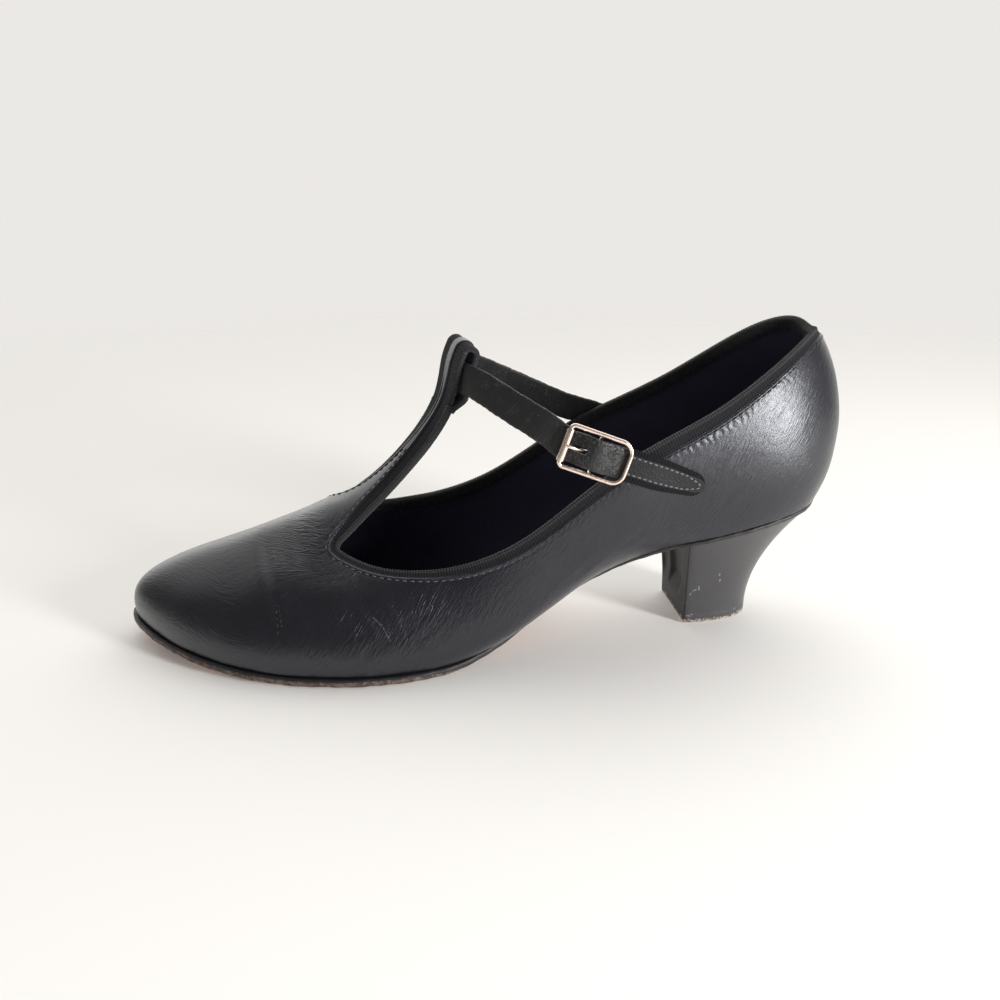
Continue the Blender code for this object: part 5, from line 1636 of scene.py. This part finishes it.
def heel_ring(share):
    """Section of the heel between its base, share 0, and the seat, share 1: a squared round at the base
    that grows into the seat's outline, and across the breast two lips with a recess between them."""
    limits, back, _ = bottom_limits(lambda along: np.full(np.shape(along), -HEEL_INSET))
    turn = np.linspace(-math.pi / 2, math.pi / 2, HEEL_TURN_POINTS)
    power = 2.0 / HEEL_SQUARENESS
    base_along = HEEL_BASE_FRONT - (HEEL_BASE_FRONT - HEEL_BASE_BACK) * np.abs(np.cos(turn)) ** power
    base_across = HEEL_BASE_HALF * np.sign(turn) * np.abs(np.sin(turn)) ** power
    seat_along = BREAST_ALONG - (BREAST_ALONG - back) * np.cos(turn)
    low, high = limits(seat_along)
    seat_across = np.where(turn < 0, low, high)
    seat_across[HEEL_TURN_POINTS // 2] = 0.0
    grown = share**HEEL_CURVE
    along = base_along + (seat_along - base_along) * grown
    across = base_across + (seat_across - base_across) * grown
    front = HEEL_BASE_FRONT + (BREAST_ALONG - HEEL_BASE_FRONT) * grown
    depth = float(smooth_step(0.1, 0.35, share))
    breast = across[-1] + (across[0] - across[-1]) * np.linspace(0.0, 1.0, 82)[1:-1]
    limit = np.where(breast > 0, across[-1], -across[0])
    inside = np.abs(breast)
    from_lip = limit - LIP_WIDTH - inside
    from_recess = limit * RECESS_SHARE - inside
    lip = LIP_DEPTH * smooth_step(0.0, 0.6, from_lip)
    recess = RECESS_DEPTH * smooth_step(0.0, 1.0, from_recess)
    inset = (lip + recess) * depth
    plan = np.stack([np.concatenate([along, front - inset]), np.concatenate([across, breast])], -1)
    for _ in range(3):
        plan = (np.roll(plan, 1, 0) + 2.0 * plan + np.roll(plan, -1, 0)) / 4.0
    along, across = plan.T
    above = np.concatenate([seat_along, np.full(len(breast), BREAST_ALONG)])
    seat = sole_bottom(np.minimum(above, along + 60.0)) - GAP
    flat_seat = SEAT_FRONT_LIFT + (BREAST_ALONG - along) * SEAT_SLOPE - GAP
    low_level = TOP_PIECE + GAP
    height = flat_seat if share > 0.999 else low_level + (seat - low_level) * share
    return np.stack([-along, across, height], -1)


def make_heel():
    """Heel as a loft of its sections, and the top piece below it with a rounded, uneven lower edge."""
    shares = np.concatenate([np.linspace(0.0, 0.96, 65), [1.0]])
    rings = np.stack([heel_ring(share) for share in shares])
    breast = (np.arange(rings.shape[1]) >= HEEL_TURN_POINTS).astype(float)

    def heel_piece(name, layers, finish, replaced):
        uv = np.tile(breast, len(layers))[:, None] * (1.0, 0.0)
        loft_piece(name, layers, finish, replaced, {"breast": uv}, smooth=35.0)

    heel_piece("heel_covering", rings, heel_finish(), ["heel"])
    base = rings[0]
    reach = distance_along(base)
    uneven = np.sin(reach * 1.7) + np.sin(reach * 0.61 + 2.0) + np.sin(reach * 3.9 + 1.0)
    levels = np.array([0.0, 0.05, 0.2, 0.5, 1.2, 2.2, TOP_PIECE, TOP_PIECE + 0.95 * GAP])
    inset = np.array([0.7, 0.35, 0.1, 0.0, 0.0, 0.0, 0.0, 0.04])
    wear = np.array([0.12, 0.12, 0.11, 0.09, 0.05, 0.02, 0.0, 0.0])
    inward = unit((base.mean(0) - base) * np.array([1.0, 1.0, 0.0]))
    layers = base + inward * (inset[:, None] + np.outer(wear, np.clip(uneven, 0.0, None)))[..., None]
    layers[..., 2] = levels[:, None]
    worn = heel_finish("worn_top_piece_covering", TORN_HEIGHT)
    heel_piece("top_piece_rubber", layers, worn, ["heel_top_piece"])


def end_stops(total, tip, fine, count):
    """Shares of a line's length, close together over its rounded end and even after it."""
    first = tip * (1.0 - np.cos(np.linspace(0.0, math.pi / 2, fine))) / total
    return np.concatenate([first, np.linspace(first[-1], 1.0, count)[1:]])


def round_end(reach, radius):
    """Share of a band's full width at distances from its round end."""
    share = np.clip(reach / radius, 0.0, 1.0)
    return np.sqrt(np.clip(1.0 - (1.0 - share) ** 2, 0.01, 1.0))


def make_strap():
    """Ankle strap: a flat band with rounded edges carried from the inner quarter through the loop to the
    buckle, rounded at its sewn end, with a worn hole for the prong."""
    buckle = BuckleFrame()
    points, normals = strap_knots(buckle)
    stops = end_stops(175.0, STRAP_WIDTH / 2, 14, 300)
    middle, normal, reach = line_at(points, normals, stops)
    half = STRAP_WIDTH / 2 * round_end(reach, STRAP_WIDTH / 2)
    half = half + 0.06 * np.sin(reach * 0.8) + 0.05 * np.sin(reach * 2.3 + 1.0)
    spread, level = band_profile(0.1)
    bowed = level * STRAP_THICK / 2 - 0.12 * spread**2 * (level > 0)
    sections = swept_band(middle, normal, half, spread, bowed)
    uv = uv_rows(reach[:, None], spread * STRAP_WIDTH / 2)
    strap = loft_piece("ankle_strap_leather", sections, strap_finish(), ["ankle_strap"],
                       {"band": uv})
    carve(strap, *PRONG_HOLE, buckle)


def tab_line():
    """The tab's middle line, its facing, distances and half width, which tapers to a round tip and narrows
    where it folds round the bar."""
    buckle = BuckleFrame()
    points, normals = tab_knots(buckle)
    middle, normal, reach = line_at(points, normals, end_stops(40.0, TAB_TIP_WIDTH / 2, 12, 150))
    taper = TAB_TIP_WIDTH + (TAB_WIDTH - TAB_TIP_WIDTH) * smooth_step(0.0, 18.0, reach)
    half = round_end(reach, TAB_TIP_WIDTH / 2) * taper / 2
    half = half - (TAB_WIDTH / 2 - 4.4) * smooth_step(reach[-1] - 14.0, reach[-1] - 9.0, reach)
    return buckle, middle, normal, reach, half


def make_tab(look):
    """Tab: a sheet with a raised leather middle, lower ribbed borders and a slot for the prong's hook,
    given its thickness by Solidify, and its stitches."""
    buckle, middle, normal, reach, half = tab_line()
    spread = np.linspace(-1.0, 1.0, 61)
    sewn = 1.0 - smooth_step(reach[-1] - 13.0, reach[-1] - 9.0, reach)
    border = smooth_step(0.62, 0.7, np.abs(spread))
    rim = 0.3 * smooth_step(0.93, 1.0, np.abs(spread)) ** 2
    height = TAB_THICK / 2 + sewn[:, None] * (0.2 - 0.3 * border) - rim
    height = height + 0.06 * border * (np.cos(2.0 * math.pi * reach / 0.9) * sewn)[:, None]
    sections = swept_band(middle, normal, half, spread, height)
    rows, columns = sections.shape[:2]
    faces = grid_quads(rows, columns, closed=False)
    near_bar = np.linalg.norm(middle - buckle.points([(0.0, 0.0, BAR_LEVEL)]), axis=1) < 2.4
    row, column = np.divmod(faces[:, 0], columns)
    kept = ~(near_bar[row] & (np.abs(spread[column] * half[row]) < 1.2) & (reach[row] > reach[-1] - 9.0))
    uv = uv_rows(reach[:, None], np.abs(spread) * (sewn[:, None] > 0.3))
    tab = new_piece("buckle_tab_leather", sections.reshape(-1, 3), faces[kept], [tab_finish()],
                    ["buckle_tab"], {"band": uv}, smooth=180.0)
    facing = np.empty(3 * len(tab.data.polygons))
    tab.data.polygons.foreach_get("normal", facing)
    if facing.reshape(-1, 3)[: columns * 20].mean(0) @ normal[: len(normal) // 4].mean(0) < 0:
        tab.data.flip_normals()
    thicken(tab, "body", TAB_THICK - 0.1)
    make_tab_stitches(look, middle, normal, reach, half)


def make_tab_stitches(look, middle, normal, reach, half):
    """Two rows of pale stitches along the tab, which meet at its tip."""
    line_share = 0.52 * np.sqrt(np.clip((reach - 1.6) / 6.0, 0.0, 1.0))
    across = unit(np.cross(normal, unit(np.gradient(middle, axis=0))))
    rows_of_thread = []
    for side in (-1.0, 1.0):
        line = middle + across * (side * half * line_share)[:, None] + normal * (TAB_THICK / 2 + 0.2)
        seam = distance_along(line)
        start, length = np.interp((1.6, reach[-1] - 13.0), reach, seam)
        places = start + np.arange(0.9, length, TAB_STITCH_PITCH)
        steps = np.gradient(line, axis=0)
        rows_of_thread.append([rows_at(places, seam, rows) for rows in (line, normal, steps)])
    centres, facing, ways = (np.concatenate(parts) for parts in zip(*rows_of_thread))
    facing = unit(facing)
    thread = thread_finish("pale_thread", tuple(look.tab_thread_colour))
    stitches("tab_stitches", thread, centres, across_normals(ways, facing), facing,
             TAB_STITCH_LENGTH, TAB_THREAD_RADIUS)


def rounded_frame():
    """Middle line of the buckle's frame: tight quarter rounds at the strap's side, wide ones at the tab's,
    and straight runs between them."""
    half_length = BUCKLE_LENGTH / 2 - BUCKLE_WIRE
    half_width = BUCKLE_WIDTH / 2 - BUCKLE_WIRE
    runs = []
    for sign_along, sign_up, radius in ((1, 1, 3.6), (-1, 1, 1.2), (-1, -1, 1.2), (1, -1, 3.6)):
        turn = math.atan2(sign_up, sign_along) - math.pi / 4 + np.linspace(0.0, math.pi / 2, 15)
        along = sign_along * (half_length - radius) + radius * np.cos(turn)
        upward = sign_up * (half_width - radius) + radius * np.sin(turn)
        runs.append(np.stack(np.broadcast_arrays(along, upward, BUCKLE_LEVEL), -1))
    loop = np.concatenate(runs + [runs[0][:1]])
    reach = distance_along(loop)
    return rows_at(np.linspace(0.0, reach[-1], 140, endpoint=False), reach, loop)


def make_buckle():
    """Buckle: a wire frame with a bent bar, a thin sleeve as roller on its front bar, and a prong hooked
    round the bent bar, each a circle carried along its middle line."""
    buckle = BuckleFrame()

    def metal_piece(name, points, faces, replaced, caps=()):
        new_piece(name, points, faces, [buckle_finish()], [replaced], None, caps, turn=True)

    ring = tube(buckle.points(rounded_frame()), BUCKLE_ROUND, 16, True, buckle.out)
    ring_faces = grid_quads(*ring.shape[:2], closed=True, ring=True)
    half = BUCKLE_WIDTH / 2 - BUCKLE_WIRE
    inner = half - 1.1
    one_end = np.array([(0.0, half, BUCKLE_LEVEL), (0.0, inner + 0.3, BAR_LEVEL + 0.8),
                        (0.0, inner - 0.7, BAR_LEVEL)])
    bent = np.concatenate([one_end * (1.0, -1.0, 1.0), [(0.0, 0.0, BAR_LEVEL)], one_end[::-1]])
    bar_path = buckle.points(cubic_through(bent, closed=False)(np.linspace(0.0, len(bent) - 1.0, 50)))
    bar = tube(bar_path, BAR_RADIUS, 12, False, buckle.along)
    ring_points = ring.reshape(-1, 3)
    bar_faces, bar_caps = closed_faces(*bar.shape[:2], offset=len(ring_points))
    metal_piece("buckle_frame_wire", np.concatenate([ring_points, bar.reshape(-1, 3)]),
                np.concatenate([ring_faces, bar_faces]), "buckle_frame", bar_caps)
    length = BUCKLE_WIDTH - 4 * BUCKLE_WIRE - 1.4
    outside = np.array([0.0, 0.06, 0.16, 0.5, 0.84, 0.94, 1.0, 1.0, 0.5, 0.0])
    radii = ROLLER_RADIUS - np.array([0.1, 0.03, 0.0, 0.0, 0.0, 0.03, 0.1, 0.25, 0.25, 0.25])
    turn = np.linspace(0.0, 2.0 * math.pi, 28, endpoint=False)
    front = -(BUCKLE_LENGTH / 2 - BUCKLE_WIRE)
    sleeve = np.stack(np.broadcast_arrays(radii[:, None] * np.cos(turn), (outside[:, None] - 0.5) * length,
                                          radii[:, None] * np.sin(turn)), -1)
    sleeve = sleeve + np.array([front, 0.0, BUCKLE_LEVEL])
    metal_piece("buckle_roller_sleeve", buckle.points(sleeve.reshape(-1, 3)),
                grid_quads(*sleeve.shape[:2], closed=True, ring=True), "buckle_roller")
    eye = BAR_RADIUS + GAP + PRONG_RADIUS
    angle = np.radians(np.arange(-10.0, -201.0, -19.0))
    hook = np.stack([eye * np.cos(angle), np.zeros(len(angle)), BAR_LEVEL + eye * np.sin(angle)], -1)
    tip_level = BUCKLE_LEVEL + ROLLER_RADIUS + GAP + PRONG_RADIUS
    tip = front - 0.6
    shank = np.array([(-2.6, 0.0, BAR_LEVEL + 0.5), (-4.6, 0.0, BAR_LEVEL + 1.5),
                      (-6.8, 0.0, tip_level - 0.7), (tip + 1.8, 0.0, tip_level), (tip, 0.0, tip_level - 0.1)])
    knots = np.concatenate([hook, shank])
    path = cubic_through(knots, closed=False)(np.linspace(0.0, len(knots) - 1.0, 90))
    reach = distance_along(path)
    thin = np.minimum(1.0, np.sqrt(np.clip((reach[-1] - reach) / 0.6, 0.03, 1.0)))
    prong = tube(buckle.points(path), PRONG_RADIUS * thin, 14, False, buckle.upward)
    loft_piece("buckle_prong_wire", prong, buckle_finish(), ["buckle_prong"])


def soft_light(name, place, aim, size, power):
    """Rectangular area light that faces a point."""
    data = bpy.data.lights.new(name, "AREA")
    data.shape = "RECTANGLE"
    data.size, data.size_y = size
    data.energy = power
    light = placed(name, data)
    light.location = place
    light.visible_camera = False
    light.rotation_euler = (Vector(aim) - Vector(place)).to_track_quat("-Z", "Y").to_euler()


def make_sky(stage):
    """Even light that is dark on the camera's side and bright behind the shoe, and a plain colour for the
    camera."""
    world = bpy.data.worlds.new("even_light")
    world.use_nodes = True
    tree = world.node_tree
    way = tree.nodes.new("ShaderNodeTexCoord").outputs["Generated"]
    behind = vector_calc(tree, "DOT_PRODUCT", way, (0.1, 0.9, 0.42), output="Value")
    glow = span(tree, behind, 0.2, 0.9, stage.dark_side, stage.bright_side)
    above = span(tree, axes(tree, way)["Z"], -0.06, 0.0)
    seen = tree.nodes.new("ShaderNodeLightPath").outputs["Is Camera Ray"]
    even = blend(tree, above, colour(stage.floor_colour), (1.0, 0.985, 0.96, 1.0))
    strength = add(tree, "ShaderNodeMix", {0: above, 2: 1.0, 3: glow}, data_type="FLOAT").outputs[0]
    plug(tree, tree.nodes["Background"], {
        "Color": blend(tree, seen, even, colour(stage.back_colour)),
        "Strength": add(tree, "ShaderNodeMix", {0: seen, 2: strength, 3: 1.0}, data_type="FLOAT").outputs[0],
    })
    return world


def floor_finish(stage):
    """Plain pale floor that fades out with distance. It throws up more light at the shoe than the camera
    sees."""
    made, tree, shader = new_finish("pale_floor")
    place = tree.nodes.new("ShaderNodeTexCoord").outputs["Object"]
    tone = shades(tree, noise(tree, place, 3.0), stage.floor_colour, 0.99, 1.01)
    seen = tree.nodes.new("ShaderNodeLightPath").outputs["Is Camera Ray"]
    plug(tree, shader, {
        "Base Color": tone,
        "Emission Color": tone,
        "Emission Strength": span(tree, seen, 0.0, 1.0, stage.bounce, stage.floor_glow),
        "Roughness": 0.9,
        "Specular IOR Level": 0.0,
        "Alpha": fade(tree, vector_calc(tree, "LENGTH", place, output="Value"), 0.3, 1.1),
    })
    return made


def make_floor(stage):
    """Round floor of rings that widen outwards."""
    sides = 64
    radii = np.concatenate([[0.0005], np.geomspace(0.1, 12.0, 14)])[:, None]
    turn = np.linspace(0.0, 2.0 * math.pi, sides, endpoint=False)
    rings = np.stack(np.broadcast_arrays(radii * np.cos(turn), radii * np.sin(turn), -0.0002), -1)
    faces = grid_quads(len(radii), sides, closed=True)[:, ::-1].tolist()
    mesh = bpy.data.meshes.new("floor")
    mesh.from_pydata(rings.reshape(-1, 3).tolist(), [], faces + [list(range(sides))])
    mesh.materials.append(floor_finish(stage))
    placed("floor", mesh)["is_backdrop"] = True


def make_camera(stage):
    """Camera at the photo's angle, turned by its yaw, pitch and roll."""
    data = bpy.data.cameras.new("camera")
    data.sensor_width = 36.0
    data.lens = stage.lens
    data.clip_start = 0.01
    data.clip_end = 100.0
    yaw, pitch, roll = (math.radians(angle) for angle in CAMERA_ANGLES)
    forward = np.array([math.sin(yaw) * math.cos(pitch), math.cos(yaw) * math.cos(pitch), -math.sin(pitch)])
    level = unit(np.cross(forward, UP))
    above = np.cross(level, forward)
    right = math.cos(roll) * level + math.sin(roll) * above
    upward = -math.sin(roll) * level + math.cos(roll) * above
    turned = Matrix([right, upward, -forward]).transposed().to_4x4()
    turned.translation = Vector((CAMERA_PLACE + SHIFT) * MM)
    camera = placed("camera", data)
    camera.matrix_world = turned
    bpy.context.scene.camera = camera


def make_stage(stage):
    """Plain pale floor that fades out, even light, one soft light and the camera."""
    scene = bpy.context.scene
    make_floor(stage)
    scene.world = make_sky(stage)
    soft_light("heel_side_light", place=(0.6, -0.53, 0.2), aim=(0.09, -0.02, 0.06), size=(0.14, 0.36),
               power=stage.side_power)
    scene.view_settings.view_transform = "Standard"
    make_camera(stage)


class SHOE_OT_upper(bpy.types.Operator):
    """Makes the leather upper with its creases and lining"""

    bl_idname = "shoe.make_upper"
    bl_label = "Make upper"

    def execute(self, context):
        make_upper(context.scene.shoe_leather)
        return {"FINISHED"}


class SHOE_OT_topline(bpy.types.Operator):
    """Makes the ribbon on the open edge and its row of stitches"""

    bl_idname = "shoe.make_topline"
    bl_label = "Make topline"

    def execute(self, context):
        make_ribbon(context.scene.shoe_leather)
        make_stitches(context.scene.shoe_leather)
        return {"FINISHED"}


class SHOE_OT_soles(bpy.types.Operator):
    """Makes the outsole and the insole"""

    bl_idname = "shoe.make_soles"
    bl_label = "Make soles"

    def execute(self, context):
        make_soles()
        return {"FINISHED"}


class SHOE_OT_heel(bpy.types.Operator):
    """Makes the heel and its top piece"""

    bl_idname = "shoe.make_heel"
    bl_label = "Make heel"

    def execute(self, context):
        make_heel()
        return {"FINISHED"}


class SHOE_OT_strap(bpy.types.Operator):
    """Makes the ankle strap and the buckle's tab"""

    bl_idname = "shoe.make_strap"
    bl_label = "Make strap and tab"

    def execute(self, context):
        make_strap()
        make_tab(context.scene.shoe_leather)
        return {"FINISHED"}


class SHOE_OT_buckle(bpy.types.Operator):
    """Makes the buckle's frame, roller and prong"""

    bl_idname = "shoe.make_buckle"
    bl_label = "Make buckle"

    def execute(self, context):
        make_buckle()
        return {"FINISHED"}


class SHOE_OT_stage(bpy.types.Operator):
    """Makes the floor, the lights and the camera"""

    bl_idname = "shoe.make_stage"
    bl_label = "Make stage"

    def execute(self, context):
        make_stage(context.scene.shoe_stage)
        return {"FINISHED"}


class SHOE_PT_panel(bpy.types.Panel):
    """Lists the shoe's sizes, colours and makers"""

    bl_idname = "SHOE_PT_panel"
    bl_label = "T-strap dance shoe"
    bl_space_type = "VIEW_3D"
    bl_region_type = "UI"
    bl_category = "Shoe"

    def draw(self, context):
        scene = context.scene
        for holder, group in GROUPS:
            box = self.layout.box()
            for name in group.__annotations__:
                box.prop(getattr(scene, holder), name)
        for operator in OPERATORS:
            self.layout.operator(operator.bl_idname)


GROUPS = (
    ("shoe_leather", ShoeLeather),
    ("shoe_bottom", ShoeBottom),
    ("shoe_buckle", ShoeBuckle),
    ("shoe_stage", ShoeStage),
)
OPERATORS = (SHOE_OT_stage, SHOE_OT_upper, SHOE_OT_topline, SHOE_OT_soles, SHOE_OT_heel, SHOE_OT_strap,
             SHOE_OT_buckle)


def register():
    for name, group in GROUPS:
        bpy.utils.register_class(group)
        setattr(bpy.types.Scene, name, bpy.props.PointerProperty(type=group))
    for operator in OPERATORS:
        bpy.utils.register_class(operator)
    bpy.utils.register_class(SHOE_PT_panel)


def unregister():
    bpy.utils.unregister_class(SHOE_PT_panel)
    for operator in reversed(OPERATORS):
        bpy.utils.unregister_class(operator)
    for name, group in reversed(GROUPS):
        delattr(bpy.types.Scene, name)
        bpy.utils.unregister_class(group)


def main():
    register()
    bpy.ops.shoe.make_stage()
    bpy.ops.shoe.make_upper()
    bpy.ops.shoe.make_topline()
    bpy.ops.shoe.make_soles()
    bpy.ops.shoe.make_heel()
    bpy.ops.shoe.make_strap()
    bpy.ops.shoe.make_buckle()
    bpy.context.view_layer.update()
    boxes = {"cad": CAD_BOUNDS, "visual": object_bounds()}
    {name: [[float(value) for value in corner] for corner in box] for name, box in boxes.items()}


if __name__ == "__main__":
    main()
